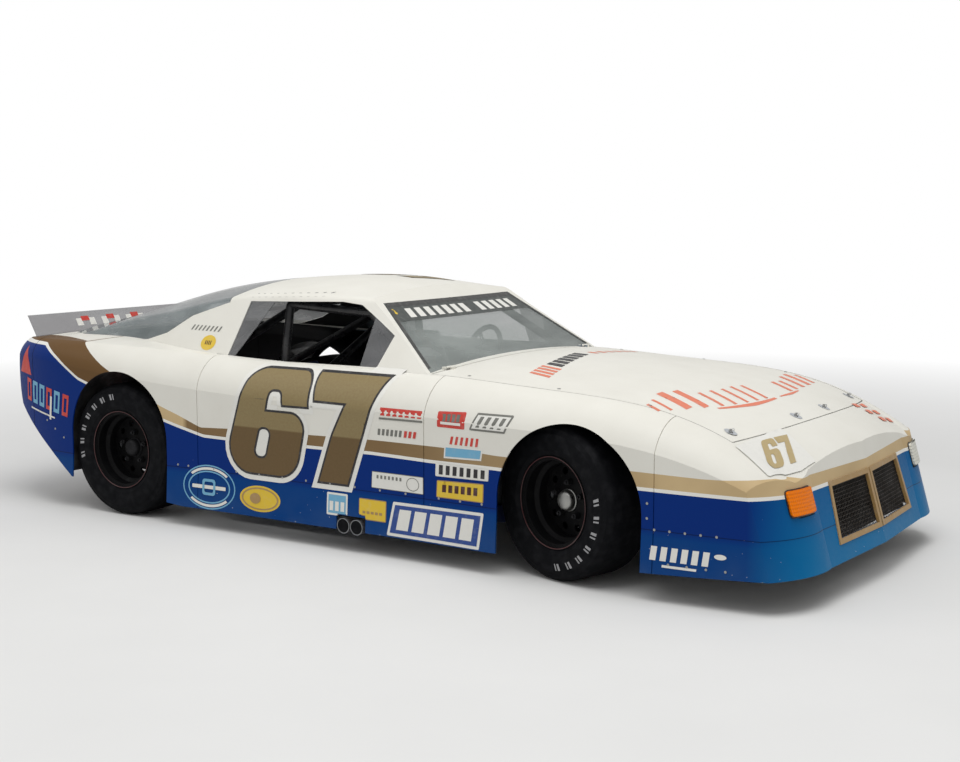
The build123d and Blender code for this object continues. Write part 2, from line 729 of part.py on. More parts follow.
def knuckle(side):
    """The upright that carries one front wheel, with its spindle, caliper and steering arm."""
    post = block(-upright_half, upright_half, -18, 18, upright_low, upright_high)
    spindle = rod((0, 0, 0), (0, spindle_end, 0), spindle_radius)
    arm = block(0, arm_reach + 14, -arm_inboard - 12, -arm_inboard + 12, arm_low, arm_top)
    slot = block(-rotor_radius - 6, -80, 44, 80, -70, 70)
    caliper = block(-rotor_radius - 20, -88, 10, 100, -45, 45) - slot
    bracket = block(-110, 0, -12, 14, -20, 20)
    left = fused([post, spindle, arm, bracket, caliper])
    piece = left if side > 0 else mirrored(left)
    return Pos(front_axle_x, side * kingpin_y, axle_z) * Rot(0, 0, rest_steer) * piece


def front_arms():
    """Wishbones, their ball joints, the rack and the tie rods."""
    pieces = []
    for side in (1, -1):
        pin = (front_axle_x, side * kingpin_y)
        rows = (
            (upright_low - ball_gap - 24, upright_low - ball_gap, arm_pivot_y, -134.0),
            (upright_high + ball_gap, upright_high + ball_gap + 24, arm_pivot_y, 134.0),
        )
        for low, high, pivot_y, pivot_z in rows:
            ball = Pos(pin[0], pin[1], axle_z + (low + high) / 2) * Cylinder(24, high - low)
            start = (pin[0], pin[1] - side * 12, axle_z + (low + high) / 2)
            legs = [rod(start, (pin[0] + dx, side * pivot_y, axle_z + pivot_z), leg_radius)
                    for dx in (-arm_spread, arm_spread)]
            bushes = [rod((pin[0] + dx - 35, side * pivot_y, axle_z + pivot_z),
                          (pin[0] + dx + 35, side * pivot_y, axle_z + pivot_z), arm_radius)
                      for dx in (-arm_spread, arm_spread)]
            arm = [ball] + legs + bushes
            if pivot_z < 0:
                share = (abs(start[1]) - shock_foot_y) / (abs(start[1]) - pivot_y)
                z = start[2] + share * (axle_z + pivot_z - start[2])
                half = share * arm_spread
                foot_y = side * shock_foot_y
                arm.append(rod((pin[0] - half, foot_y, z), (pin[0] + half, foot_y, z), leg_radius))
            pieces.append(fused(arm))
    return pieces


def tie_rods():
    """The rack across the car and a rod up to each steering arm."""
    turn = math.radians(rest_steer)
    pieces = []
    for side in (1, -1):
        y = -side * arm_inboard
        x_end = front_axle_x + arm_reach * math.cos(turn) - y * math.sin(turn)
        y_end = side * kingpin_y + arm_reach * math.sin(turn) + y * math.cos(turn)
        end = (x_end, y_end, rack_z)
        stud = rod(end, (x_end, y_end, axle_z + arm_low - ball_gap), 8.0)
        bar = rod((rack_x, side * (rack_half - 10), rack_z), end, tie_radius)
        pieces += [stud, bar, Pos(*end) * Sphere(tie_ball)]
    rack = rod((rack_x, -rack_half, rack_z), (rack_x, rack_half, rack_z), rack_radius)
    return fused([rack] + pieces)


# Rear axle and its links
axle_tube_radius = 40.0
axle_tube_end = 712.0
link_y = 640.0
link_z = 140.0
spring_radius = 36.0


def rear_axle():
    """The axle tube, its centre housing, brakes, lower links and the propeller shaft."""
    tube = rod((rear_axle_x, -axle_tube_end, axle_z),
               (rear_axle_x, axle_tube_end, axle_z), axle_tube_radius)
    housing = rod((rear_axle_x, -95, axle_z), (rear_axle_x, 95, axle_z), 128.0)
    nose = rod((rear_axle_x, 0, axle_z), (rear_axle_x + 190, 0, axle_z), 60.0)
    shaft = rod((rear_axle_x + 180, 0, axle_z), (259.0 - seat_gap, 0, 318.0), 36.0)
    pieces = [tube, housing, nose, shaft]
    base_y = wheel_outer_y - kingpin_to_outer
    for side in (1, -1):
        spindle = rod((0, -10, 0), (0, spindle_end, 0), spindle_radius)
        slot = block(-rotor_radius - 6, -80, 44, 80, -70, 70)
        caliper = block(-rotor_radius - 20, -88, 10, 100, -45, 45) - slot
        bracket = block(-110, 0, -12, 14, -20, 20)
        end = fused([spindle, caliper, bracket])
        end = end if side > 0 else mirrored(end)
        pieces.append(Pos(rear_axle_x, side * base_y, axle_z) * end)
        hanger = block(rear_axle_x - 30, rear_axle_x + 60,
                       side * shock_y - 12, side * shock_y + 12, 215, axle_z)
        link = rod((rear_axle_x + 10, side * shock_y, 235),
                   (rail_rear_x - 27.0, side * link_y, link_z), 16.0)
        perch = block(rear_axle_x, shock_x + 30, side * shock_y - 30, side * shock_y + 30,
                      axle_z + 10, axle_z + axle_tube_radius)
        pieces += [hanger, link, perch]
    return fused(pieces)


def coil_shocks():
    """A coil spring over a damper at each wheel, plain in outline."""
    pieces = []
    for side in (1, -1):
        share = (kingpin_y - 12 - shock_foot_y) / (kingpin_y - 12 - arm_pivot_y)
        ball_z = axle_z + upright_low - ball_gap - 12
        foot_z = ball_z + share * (axle_z - 134.0 - ball_z) + leg_radius + 6.5
        front = coil_over((front_axle_x, side * shock_foot_y, foot_z),
                          (front_axle_x, side * tower_y, tower_z), tower_radius)
        rear = coil_over((shock_x, side * shock_y, axle_z + axle_tube_radius + seat_gap),
                         (shock_x, side * shock_y, shock_bar_z), 20.0)
        pieces += [front, rear]
    return pieces


def coil_over(foot, head, bar_radius):
    """One damper with its spring between two seats, ending against a round bar."""
    run = Vector(*head) - Vector(*foot)
    length = run.length - bar_radius - seat_gap
    plane = Plane(origin=foot, z_dir=run)
    profile = ((0, 0), (12, 0), (12, 30), (22, 34), (22, 60), (spring_radius, 62),
               (spring_radius, length - 44), (20, length - 40), (12, length - 20),
               (12, length), (0, length))
    face = make_face(Polyline(*[(x, 0, z) for x, z in profile], close=True))
    return plane * revolve(face, Axis.Z, 360)


# Exhaust, out under the right door
pipe_radius = 36.0
pipe_strap = 10.0
pipe_z = rail_low - pipe_strap - pipe_radius - seat_gap
pipe_rows = ((62.0, -262.0), (140.0, -180.0))
pipe_room = 12.0


def pipe_notch():
    """The cut in the right door's foot that the exhaust pipes come out through."""
    reach = pipe_radius + pipe_room
    places = [x for x, _ in pipe_rows]
    return block(min(places) - reach, max(places) + reach, -1200, -600, -10, pipe_z + reach)


def exhaust_pipes():
    """Two pipes from the engine, back under the floor and out through the right rocker."""
    pieces = []
    for x, y in pipe_rows:
        path = Polyline((900, y, 215), (840, y, pipe_z + 20), (x + 90, y, pipe_z),
                        (x, y - 90, pipe_z), (x, -968, pipe_z))
        points = [tuple(v) for v in path.vertices()]
        legs = [rod(a, b, pipe_radius) for a, b in zip(points, points[1:])]
        knees = [Pos(*p) * Sphere(pipe_radius) for p in points[1:-1]]
        pieces.append(fused(legs + knees))
    return pieces


# Driver's place
driver_y = 330.0
seat_half = 190.0
seat_wall = 22.0
seat_base_z = floor_top + seat_gap


def seat():
    """The bucket seat, a hollow shell with side wings."""
    base = seat_base_z
    side = ((60.0, base), (60.0, base + 190), (-260.0, base + 150), (-330.0, base + 420),
            (-420.0, base + 660), (-560.0, base + 660), (-470.0, base + 300), (-420.0, base))
    hollow = ((90.0, base + 150), (-270.0, base + 100), (-345.0, base + 130), (-440.0, base + 420),
              (-520.0, base + 700), (0.0, base + 700), (90.0, base + 400))
    outer = side_prism(side, driver_y - seat_half, driver_y + seat_half)
    inner = side_prism(hollow, driver_y - seat_half + seat_wall, driver_y + seat_half - seat_wall)
    return outer - inner


wheel_centre = (-10.0, driver_y, 800.0)
column_foot = (firewall_x - floor_sheet - 4.0, driver_y, 610.0)
column_radius = 14.0
wheel_ring_radius = 175.0
wheel_grip_radius = 14.0


def column_plane():
    """The steering wheel's plane, its normal along the column towards the driver."""
    run = Vector(*wheel_centre) - Vector(*column_foot)
    return Plane(origin=wheel_centre, x_dir=(0, 1, 0), z_dir=run)


def steering_wheel():
    """A dished three-spoke wheel."""
    ring = Torus(wheel_ring_radius, wheel_grip_radius)
    hub = Pos(0, 0, -22) * Cylinder(30, 36)
    pieces = [ring, hub]
    for angle in (90, 210, 330):
        spoke = Pos(wheel_ring_radius / 2, 0, -12) * Box(wheel_ring_radius, 26, 5)
        pieces.append(Rot(0, 0, angle) * spoke)
    return column_plane() * fused(pieces)


def steering_column():
    """The column from the firewall to the wheel."""
    plane = column_plane()
    head = plane.origin - plane.z_dir * (40 + seat_gap)
    return rod(column_foot, tuple(head), column_radius)


dash_top = 826.0
dash_low = 655.0


def dash_panel():
    """A folded sheet across the cabin behind the windscreen bar, with its gauge hood."""
    x = cage_nodes["pillar_knee"][0] - cage_radius - seat_gap
    sheet = block(x - 3, x, -640, 640, dash_low, dash_top)
    hood = block(x - 60, x - 2, driver_y - 210, driver_y + 210, dash_top - 8, dash_top)
    fold = block(x - 40, x - 2, -640, 640, dash_low, dash_low + 3)
    column = rod(column_foot, wheel_centre, column_radius + seat_gap)
    return fused([sheet, hood, fold]) - column


# Grille, lamps and spoiler
mesh_pitch = 48.0
mesh_bar = 4.0
mesh_depth = 6.0
grille_gap = 0.3


def face_plane(y_low, y_high, height):
    """A plane on the leaning front face's right half or left half."""
    lean = math.tan(math.radians(nose_lean))
    tip, knee = nose_outline[:2]
    slope = (knee[0] - tip[0]) / knee[1]

    def at(y, z):
        return Vector(tip[0] + slope * abs(y) - (z - nose_foot_z) * lean, y, z)

    a, b, c = at(y_low, height), at(y_high, height), at(y_low, height + 100)
    across, up = (b - a), (c - a)
    return Plane(origin=a, x_dir=across, z_dir=across.cross(up))


def grille_mesh():
    """Crossed bars behind the two grille openings, each set in its own frame."""
    plane = face_plane(0, 400, grille_low)
    width, height = 470.0, 236.0
    frame = Pos(width / 2, height / 2) * (Rectangle(width, height) - Rectangle(width - 40, height - 40))
    columns = int((width - 30) / mesh_pitch)
    rows = int((height - 30) / mesh_pitch)
    bars = [Pos(20 + mesh_pitch * (i + 0.5), height / 2) * Rectangle(mesh_bar, height - 30)
            for i in range(columns)]
    bars += [Pos(width / 2, 20 + mesh_pitch * (i + 0.4)) * Rectangle(width - 30, mesh_bar)
             for i in range(rows)]
    face = frame
    for bar in bars:
        face = face + bar
    panel_shape = extrude(face, amount=mesh_depth)
    set_back = panel + grille_gap + mesh_depth
    left = plane * (Pos(6, -6, -set_back) * panel_shape)
    return [left, mirrored(left)]


lamp_low = 374.0
lamp_high = 476.0
lamp_inner_y = 640.0
lamp_outer_y = 768.0
lamp_depth = 40.0


def front_lamps(outer):
    """The two front lamps, each let into the nose beside the grille."""
    zone = block(2000, 2500, lamp_inner_y, lamp_outer_y, lamp_low, lamp_high)
    lens = (outer - Pos(-lamp_depth, 0, 0) * outer) & zone
    return both_sides(largest(lens))


def lamp_pockets():
    """The holes in the nose that the lamps fill, with their gap."""
    gap = seat_gap
    zone = block(2000, 2500, lamp_inner_y - gap, lamp_outer_y + gap, lamp_low - gap, lamp_high + gap)
    return zone + mirrored(zone)


tail_lamp_low = 700.0
tail_lamp_high = 800.0
tail_lamp_inner = 330.0
tail_lamp_outer = 700.0


def tail_lamps(outer):
    """Wide rear lamps let into the tail."""
    zone = block(-2400, -2280, tail_lamp_inner, tail_lamp_outer, tail_lamp_low, tail_lamp_high)
    lens = (outer - Pos(24, 0, 0) * outer) & zone
    return both_sides(largest(lens))


def tail_pockets():
    """The holes in the tail for the rear lamps."""
    gap = seat_gap
    zone = block(-2400, -2250, tail_lamp_inner - gap, tail_lamp_outer + gap,
                 tail_lamp_low - gap, tail_lamp_high + gap)
    return zone + mirrored(zone)


def largest(shape):
    """The biggest solid of a shape."""
    return sorted(shape.solids(), key=lambda s: s.volume)[-1]


spoiler_foot_x = -2262.0
spoiler_lean = 62.0
spoiler_rise = 104.0
spoiler_half = 775.0
spoiler_sheet = 6.0


def rear_spoiler(outer):
    """The clear upright blade across the tail, on a foot flange."""
    x, low, high = spoiler_foot_x, 860.0, 1002.0
    lean = spoiler_lean / spoiler_rise
    foot, head = x + (902 - low) * lean, x - (high - 902) * lean
    thick = spoiler_sheet * 1.15
    points = ((foot, low), (head, high), (head + thick, high), (foot + thick, low))
    blade = side_prism(points, -spoiler_half, spoiler_half)
    return blade - Pos(0, 0, seat_gap) * outer


# Hood hinges, set on the skin at the hood's rear corners
hinge_rise = 8.0
hinge_gap = 1.0
hinge_span = 22.0
hinge_leaf = 24.0
hinge_barrel = 6.0
hinge_pin = 3.0
hinge_bore = 3.4


def hinge_height(outer):
    """The hinge line, a barrel's height above the skin."""
    return skin_height(outer, hinge_x, hinge_y) + hinge_rise


def hinge_parts(outer, side):
    """The fixed barrels with their pin, and the hood's own barrel, at one corner."""
    z, y = hinge_height(outer), side * hinge_y
    rows = (-hinge_span - hinge_gap, 0.0, hinge_span + hinge_gap)
    barrels = []
    for i, dy in enumerate(rows):
        low = y + dy - hinge_span / 2
        barrel = rod((hinge_x, low, z), (hinge_x, low + hinge_span, z), hinge_barrel)
        reach = (hinge_x, hinge_x + hinge_leaf) if i == 1 else (hinge_x - hinge_leaf, hinge_x)
        leaf = block(reach[0], reach[1], low, low + hinge_span, z - hinge_rise - 4, z + 2)
        barrels.append(barrel + leaf)
    pin = rod((hinge_x, y - 33, z), (hinge_x, y + 33, z), hinge_pin)
    fixed = [barrels[0], barrels[2], pin]
    bore = rod((hinge_x, y - 50, z), (hinge_x, y + 50, z), hinge_bore)
    moving = barrels[1] - bore
    return fused(fixed), moving


def hinge_pocket(outer, side, back):
    """The room in a skin round one hinge."""
    z, y = hinge_height(outer), side * hinge_y
    low, high = (hinge_x - 60, hinge_x + 12) if back else (hinge_x - 12, hinge_x + 60)
    return block(low, high, y - 40, y + 40, z - 40, z + 40)


def group(pieces):
    """Solids that share a sub-part without touching."""
    solids = []
    for piece in pieces:
        solids += list(piece.solids())
    return Compound(children=solids)


def save(name, shape):
    """Write one sub-part."""
    solids = list(shape.solids())
    piece = solids[0] if len(solids) == 1 else Compound(children=solids)
    export_step(piece, "parts/" + name + ".step")


def dress_hood(panels, outer):
    """Cut the pin holes and join each hinge half to its own panel."""
    hood, cowl = panels["hood"], panels["cowl_panel"]
    for x, y in pin_rows:
        for side in (1, -1):
            hood = hood - rod((x, side * y, 400), (x, side * y, 1000), pin_hole)
    for side in (1, -1):
        fixed, moving = hinge_parts(outer, side)
        hood = (hood - hinge_pocket(outer, side, True)) + moving
        cowl = (cowl - hinge_pocket(outer, side, False)) + fixed
    panels["hood"], panels["cowl_panel"] = hood, cowl


def build():
    """Make every sub-part and write it."""
    os.makedirs("parts", exist_ok=True)
    panels, outer, inner = skin_panels()
    dress_hood(panels, outer)
    panels["nose_cover"] = panels["nose_cover"] - lamp_pockets()
    panels["tail_cover"] = panels["tail_cover"] - tail_pockets()
    parts = dict(panels)
    parts.update(cabin_shells(outer))
    parts["grille_mesh"] = group(grille_mesh())
    parts["front_lamps"] = front_lamps(outer)
    parts["tail_lamps"] = tail_lamps(outer)
    parts["rear_spoiler"] = rear_spoiler(outer)
    parts.update(frame_parts(chassis_frame(outer, inner)))
    parts["roll_cage"] = roll_cage()
    parts["floor_pan"] = floor_pan(outer)
    parts["engine_block"] = engine_block()
    parts["radiator"] = radiator()
    parts["fuel_cell"] = fuel_cell()
    parts["front_arms"] = group(front_arms())
    parts["tie_rods"] = tie_rods()
    parts["coil_shocks"] = group(coil_shocks())
    parts["rear_axle"] = rear_axle()
    parts["exhaust_pipes"] = group(exhaust_pipes())
    parts["seat"] = seat()
    parts["steering_column"] = steering_column()
    parts["steering_wheel"] = steering_wheel()
    parts["dash_panel"] = dash_panel()
    for side_name, side in (("left", 1), ("right", -1)):
        parts["knuckle_" + side_name] = knuckle(side)
        for end_name, front in (("front", True), ("rear", False)):
            parts["rim_" + end_name + "_" + side_name] = rim(side, front)
            parts["tyre_" + end_name + "_" + side_name] = tyre(side, front)
    for name, shape in parts.items():
        save(name, shape)
    return parts


build()
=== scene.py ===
import json
import math

import bmesh
import bpy
from bpy.props import FloatProperty, FloatVectorProperty, PointerProperty
from mathutils import Matrix, Vector
from mathutils.bvhtree import BVHTree
from mathutils.geometry import delaunay_2d_cdt


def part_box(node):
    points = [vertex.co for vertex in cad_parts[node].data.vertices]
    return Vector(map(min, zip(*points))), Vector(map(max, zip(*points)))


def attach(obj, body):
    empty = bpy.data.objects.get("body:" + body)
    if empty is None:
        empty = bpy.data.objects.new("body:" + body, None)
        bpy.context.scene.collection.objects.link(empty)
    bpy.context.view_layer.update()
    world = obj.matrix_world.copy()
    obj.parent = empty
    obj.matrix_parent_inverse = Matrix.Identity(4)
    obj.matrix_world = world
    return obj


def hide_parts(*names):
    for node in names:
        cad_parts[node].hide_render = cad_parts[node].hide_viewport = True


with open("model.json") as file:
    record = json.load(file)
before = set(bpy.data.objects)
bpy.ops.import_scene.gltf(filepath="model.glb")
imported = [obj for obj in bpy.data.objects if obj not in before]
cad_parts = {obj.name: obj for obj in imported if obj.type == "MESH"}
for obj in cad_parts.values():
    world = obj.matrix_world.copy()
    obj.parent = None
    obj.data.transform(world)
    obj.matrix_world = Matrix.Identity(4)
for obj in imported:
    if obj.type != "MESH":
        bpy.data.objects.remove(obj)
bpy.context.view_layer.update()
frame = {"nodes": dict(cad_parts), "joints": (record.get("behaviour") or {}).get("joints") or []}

bl_info = {
    "name": "Short-track coupe",
    "version": (1, 0, 0),
    "blender": (4, 5, 0),
    "location": "3D View > Sidebar > Race car",
    "description": "Finishes and dresses a short-track racing coupe round its packed frame",
    "category": "Object",
}

JOINTS = {row["name"]: row for row in frame["joints"]}
SKIN_NODES = (
    "nose_cover", "tail_cover", "hood", "cowl_panel", "fender_left", "fender_right",
    "door_left", "door_right", "quarter_left", "quarter_right", "roof_shell",
)


def colour(name, text, value):
    """A colour setting."""
    return FloatVectorProperty(name=name, description=text, subtype="COLOR", min=0.0, max=1.0,
                               default=value)


def length(name, text, value):
    """A size setting in metres."""
    return FloatProperty(name=name, description=text, unit="LENGTH", min=0.0, default=value)


def amount(name, text, value):
    """A plain number setting."""
    return FloatProperty(name=name, description=text, min=0.0, default=value)


class PaintSettings(bpy.types.PropertyGroup):
    """Colours of the body paint"""

    upper: colour("Upper body", "Off-white over the roof, hood and upper flanks", (0.8, 0.785, 0.72))
    band: colour("Band", "Gold band round the car", (0.15, 0.082, 0.032))
    # Painted light: the nose's front blue as the sky lights it
    nose: colour("Nose", "Paler blue of the nose's front", (0.001, 0.185, 0.415))
    # Painted highlight: the gold where the band catches the light
    band_painted_highlight: colour("Band, pale", "Gold where it catches the light", (0.64, 0.48, 0.265))
    pinstripe: colour("Pinstripe", "Thin line between the band and the lower body", (0.84, 0.83, 0.78))
    lower: colour("Lower body", "Deep blue below the band", (0.0005, 0.026, 0.19))
    skirt: colour("Skirt", "Lighter blue of the dusty skirt", (0.0005, 0.052, 0.215))
    number_light: colour("Number, upper", "Upper part of the race number", (0.275, 0.215, 0.102))
    number_dark: colour("Number, lower", "Lower part of the race number", (0.14, 0.09, 0.036))
    line_width: length("Pinstripe width", "Height of the pinstripe", 0.015)


class WheelSettings(bpy.types.PropertyGroup):
    """Sizes and colours of the wheels"""

    marks_radius: length("Marks radius", "Middle of the ring of sidewall marks", 0.279)
    marks_height: length("Marks height", "Height of one sidewall mark", 0.03)
    lip_line: length("Rim line", "Width of the painted line at the rim's lip", 0.0035)
    rubber: colour("Rubber", "Worn racing rubber", (0.0035, 0.0038, 0.005))
    line: colour("Rim line", "Thin line round the rim's lip", (0.055, 0.003, 0.004))
    cap: colour("Hub cap", "Dull plated dust cap", (0.46, 0.46, 0.44))


class TrimSettings(bpy.types.PropertyGroup):
    """Sizes of what lies on the skin"""

    lift: length("Decal lift", "How far a decal stands off the paint", 0.0008)
    pitch: length("Decal pitch", "Spacing of a decal's inner points", 0.018)
    rivet: length("Rivet radius", "Radius of a rivet's head", 0.006)
    wire: length("Grille wire", "Thickness of the grille's wire", 0.0024)
    wire_pitch: length("Grille pitch", "Spacing of the grille's wires", 0.016)


class StageSettings(bpy.types.PropertyGroup):
    """The camera and the lamps"""

    lens: amount("Lens", "Focal length in millimetres", 57.42)
    sky: amount("Sky", "Strength of the even light from all round", 0.5)
    key: amount("Key lamp", "Power of the large soft lamp, in watts", 465.0)
    fill: amount("Fill lamp", "Power of the second lamp, in watts", 95.0)


def settings(group):
    """One of the scene's setting groups."""
    return getattr(bpy.context.scene, "race_car_" + group)


class Sketch:
    """One material's nodes, laid out by short calls."""

    def __init__(self, name):
        self.material = bpy.data.materials.new(name)
        self.material.use_nodes = True
        tree = self.material.node_tree
        self.nodes, self.links = tree.nodes, tree.links
        self.shader = self.nodes["Principled BSDF"]
        where = self.nodes.new("ShaderNodeTexCoord")
        self.place, self.facing = where.outputs["Object"], where.outputs["Normal"]

    def feed(self, socket, value):
        """Join a socket to another, or give it a plain value."""
        if isinstance(value, bpy.types.NodeSocket):
            self.links.new(value, socket)
        else:
            socket.default_value = value

    def reckon(self, operation, *values):
        """One step of arithmetic."""
        node = self.nodes.new("ShaderNodeMath")
        node.operation = operation
        for socket, value in zip(node.inputs, values):
            self.feed(socket, value)
        return node.outputs[0]

    def times(self, a, b):
        """One value times another."""
        return self.reckon("MULTIPLY", a, b)

    def under(self, a, b):
        """1 where the first value is the smaller."""
        return self.reckon("LESS_THAN", a, b)

    def over(self, a, b):
        """1 where the first value is the greater."""
        return self.reckon("GREATER_THAN", a, b)

    def size(self, value):
        """A value without its sign."""
        return self.reckon("ABSOLUTE", value)

    def away(self, value, middle):
        """How far a value lies from a middle."""
        return self.size(self.reckon("SUBTRACT", value, middle))

    def axes(self, vector=None):
        """The three parts of the place on the object, or of another vector."""
        node = self.nodes.new("ShaderNodeSeparateXYZ")
        self.feed(node.inputs[0], vector or self.place)
        return node.outputs

    def highest(self, first, *others):
        """The greatest of several values."""
        for other in others:
            first = self.reckon("MAXIMUM", first, other)
        return first

    def spread(self, value, low, high, start=0.0, end=1.0):
        """A value carried from one range to another, and held at its ends."""
        node = self.nodes.new("ShaderNodeMapRange")
        for socket, number in zip(node.inputs, (value, low, high, start, end)):
            self.feed(socket, number)
        return node.outputs[0]

    def stretched(self, scale):
        """The place, stretched by three factors."""
        node = self.nodes.new("ShaderNodeVectorMath")
        node.operation = "MULTIPLY"
        self.feed(node.inputs[0], self.place)
        node.inputs[1].default_value = scale
        return node.outputs[0]

    def noise(self, scale, detail=3.0, place=None):
        """Cloudy noise from 0 to 1."""
        node = self.nodes.new("ShaderNodeTexNoise")
        self.feed(node.inputs["Vector"], place or self.place)
        node.inputs["Scale"].default_value = scale
        node.inputs["Detail"].default_value = detail
        return node.outputs[0]

    def patches(self, scale, start=0.0, end=1.0, detail=3.0, low=0.3, high=0.7):
        """Cloudy noise, with its middle range carried to another."""
        return self.spread(self.noise(scale, detail), low, high, start, end)

    def cells(self, scale, place=None):
        """Distance to the nearest of many scattered points."""
        node = self.nodes.new("ShaderNodeTexVoronoi")
        self.feed(node.inputs["Vector"], place or self.place)
        node.inputs["Scale"].default_value = scale
        return node.outputs["Distance"]

    def waves(self, axis, scale, distortion=0.0):
        """Parallel ridges across one axis."""
        node = self.nodes.new("ShaderNodeTexWave")
        node.bands_direction = axis
        self.feed(node.inputs["Vector"], self.place)
        node.inputs["Scale"].default_value = scale
        node.inputs["Distortion"].default_value = distortion
        return node.outputs[1]

    def tint(self, socket, value):
        """Join a colour socket, or give it a plain colour."""
        self.feed(socket, value if isinstance(value, bpy.types.NodeSocket) else (*value, 1.0))

    def blend(self, share, a, b):
        """Two colours mixed."""
        node = self.nodes.new("ShaderNodeMix")
        node.data_type = "RGBA"
        self.feed(node.inputs[0], share)
        for socket, value in zip(node.inputs[6:8], (a, b)):
            self.tint(socket, value)
        return node.outputs[2]

    def outline(self, value, points):
        """A height read off a line through the points, as place and height."""
        low, high = points[0][0], points[-1][0]
        floor = min(height for _, height in points)
        top = max(height for _, height in points)
        node = self.nodes.new("ShaderNodeFloatCurve")
        curve = node.mapping.curves[0]
        while len(curve.points) < len(points):
            curve.points.new(0.5, 0.5)
        for knot, (place, height) in zip(curve.points, points):
            knot.location = ((place - low) / (high - low), (height - floor) / (top - floor))
            knot.handle_type = "VECTOR"
        node.mapping.update()
        self.feed(node.inputs["Value"], self.spread(value, low, high))
        return self.spread(node.outputs[0], 0.0, 1.0, floor, top)

    def bump(self, height, distance, strength=1.0):
        """Small relief on the surface."""
        node = self.nodes.new("ShaderNodeBump")
        node.inputs["Strength"].default_value = strength
        node.inputs["Distance"].default_value = distance
        self.feed(node.inputs["Height"], height)
        self.feed(self.shader.inputs["Normal"], node.outputs[0])

    def shade(self, base, roughness, **constants):
        """Set the shader's colour, roughness and constants."""
        self.tint(self.shader.inputs["Base Color"], base)
        self.feed(self.shader.inputs["Roughness"], roughness)
        for name, value in constants.items():
            self.shader.inputs[name.replace("_", " ")].default_value = value


# Edges of the livery in side view, from the tail to the nose: x and z in metres
BAND_TOP = (
    (-2.4, 1.1), (-1.76, 1.1), (-1.745, 0.89), (-1.673, 0.857), (-1.54, 0.79), (-1.118, 0.603),
    (-1.0, 0.566), (-0.851, 0.514), (-0.649, 0.523), (0.222, 0.544), (0.691, 0.545), (0.913, 0.536),
    (1.615, 0.536), (1.901, 0.532), (2.152, 0.54), (2.26, 0.505), (2.4, 0.5),
)
BLUE_TOP = (
    (-2.4, 0.866), (-2.03, 0.862), (-1.876, 0.792), (-1.71, 0.7), (-1.106, 0.527), (-1.002, 0.502),
    (-0.832, 0.465), (-0.651, 0.463), (0.221, 0.474), (0.555, 0.468), (0.914, 0.471), (1.615, 0.459),
    (2.1, 0.459), (2.4, 0.455),
)
# Where the band ends on the rear deck: x, and distance from the middle
DECK_EDGE = ((-2.4, 0.62), (-2.0, 0.752), (-1.76, 0.85), (-1.745, 0.0), (2.4, 0.0))
SKIRT_HEIGHT = 0.3
# How far from the middle the skirt's seam starts
SEAM_INSIDE = 0.4
# Beyond this place along the car, the nose's and the tail's own faces lean
ENDS_FROM = 1.9
CABIN_REAR, CABIN_FRONT = -1.1, 0.52
# Where the band's painted glint lies, how far from there it is in full, and where it ends
GLINT_X, GLINT_NEAR, GLINT_FAR = -1.06, 0.09, 0.13
# Tints of dirt and chips, of the skirt's seam, of the panels' backs and of the cabin's lining
GRIME, DUST, CHIP = (0.55, 0.52, 0.44), (0.16, 0.22, 0.26), (0.62, 0.64, 0.66)
SEAM_SHADE, PANEL_BACK = (0.001, 0.004, 0.02), (0.03, 0.03, 0.032)
CABIN_LINING = (0.21, 0.25, 0.29)


def inner_face(sketch, x, y):
    """Where a panel's face looks into the car."""
    nx, ny, nz = sketch.axes(sketch.facing)
    outward = sketch.times(ny, sketch.reckon("SIGN", y))
    endward = sketch.times(nx, sketch.reckon("SIGN", x))
    at_end = sketch.over(sketch.size(x), ENDS_FROM)
    return sketch.highest(sketch.under(outward, -0.3), sketch.under(nz, -0.6),
                          sketch.times(at_end, sketch.under(endward, -0.3)))


def band_gold(sketch, x):
    """The band's gold: dark behind, with a painted highlight that pales it ahead and one painted glint
    over the rear wheel.
    """
    paint = settings("paint")
    # Painted highlight growing towards the nose, and a painted glint over the rear wheel
    ahead = sketch.spread(x, 0.3, 1.8, 0.18, 0.95)
    glint = sketch.spread(sketch.away(x, GLINT_X), GLINT_FAR, GLINT_NEAR, 0.0, 0.95)
    pale = sketch.times(sketch.highest(ahead, glint), sketch.patches(2.2, 0.75, high=0.6))
    pale = sketch.times(pale, sketch.spread(x, -1.24, -1.18))
    return sketch.blend(pale, paint.band, paint.band_painted_highlight)


def lower_blue(sketch, x, z, side, grime):
    """The blue: paler on the skirt, paler on the nose's front as painted light from the sky, dusty and
    chipped low down, with one seam.
    """
    paint = settings("paint")
    skirt = sketch.spread(z, SKIRT_HEIGHT + 0.004, SKIRT_HEIGHT - 0.03)
    blue = sketch.blend(sketch.times(skirt, 0.8), paint.lower, paint.skirt)
    # Painted light: the nose's front turns to the paler blue that the sky lights it to
    blue = sketch.blend(sketch.times(sketch.spread(x, 2.09, 2.32), 0.85), blue, paint.nose)
    dust = sketch.times(sketch.spread(z, 0.28, 0.1), sketch.spread(grime, 0.35, 0.75))
    blue = sketch.blend(sketch.times(dust, 0.16), blue, DUST)
    chips = sketch.under(sketch.cells(26.0), sketch.spread(z, 0.12, 0.46, 0.07, 0.0))
    blue = sketch.blend(sketch.times(chips, 0.7), blue, CHIP)
    seam = sketch.spread(sketch.away(z, SKIRT_HEIGHT), 0.0022, 0.001)
    seam = sketch.times(seam, sketch.under(SEAM_INSIDE, side))
    return sketch.blend(sketch.times(seam, 0.7), blue, SEAM_SHADE)


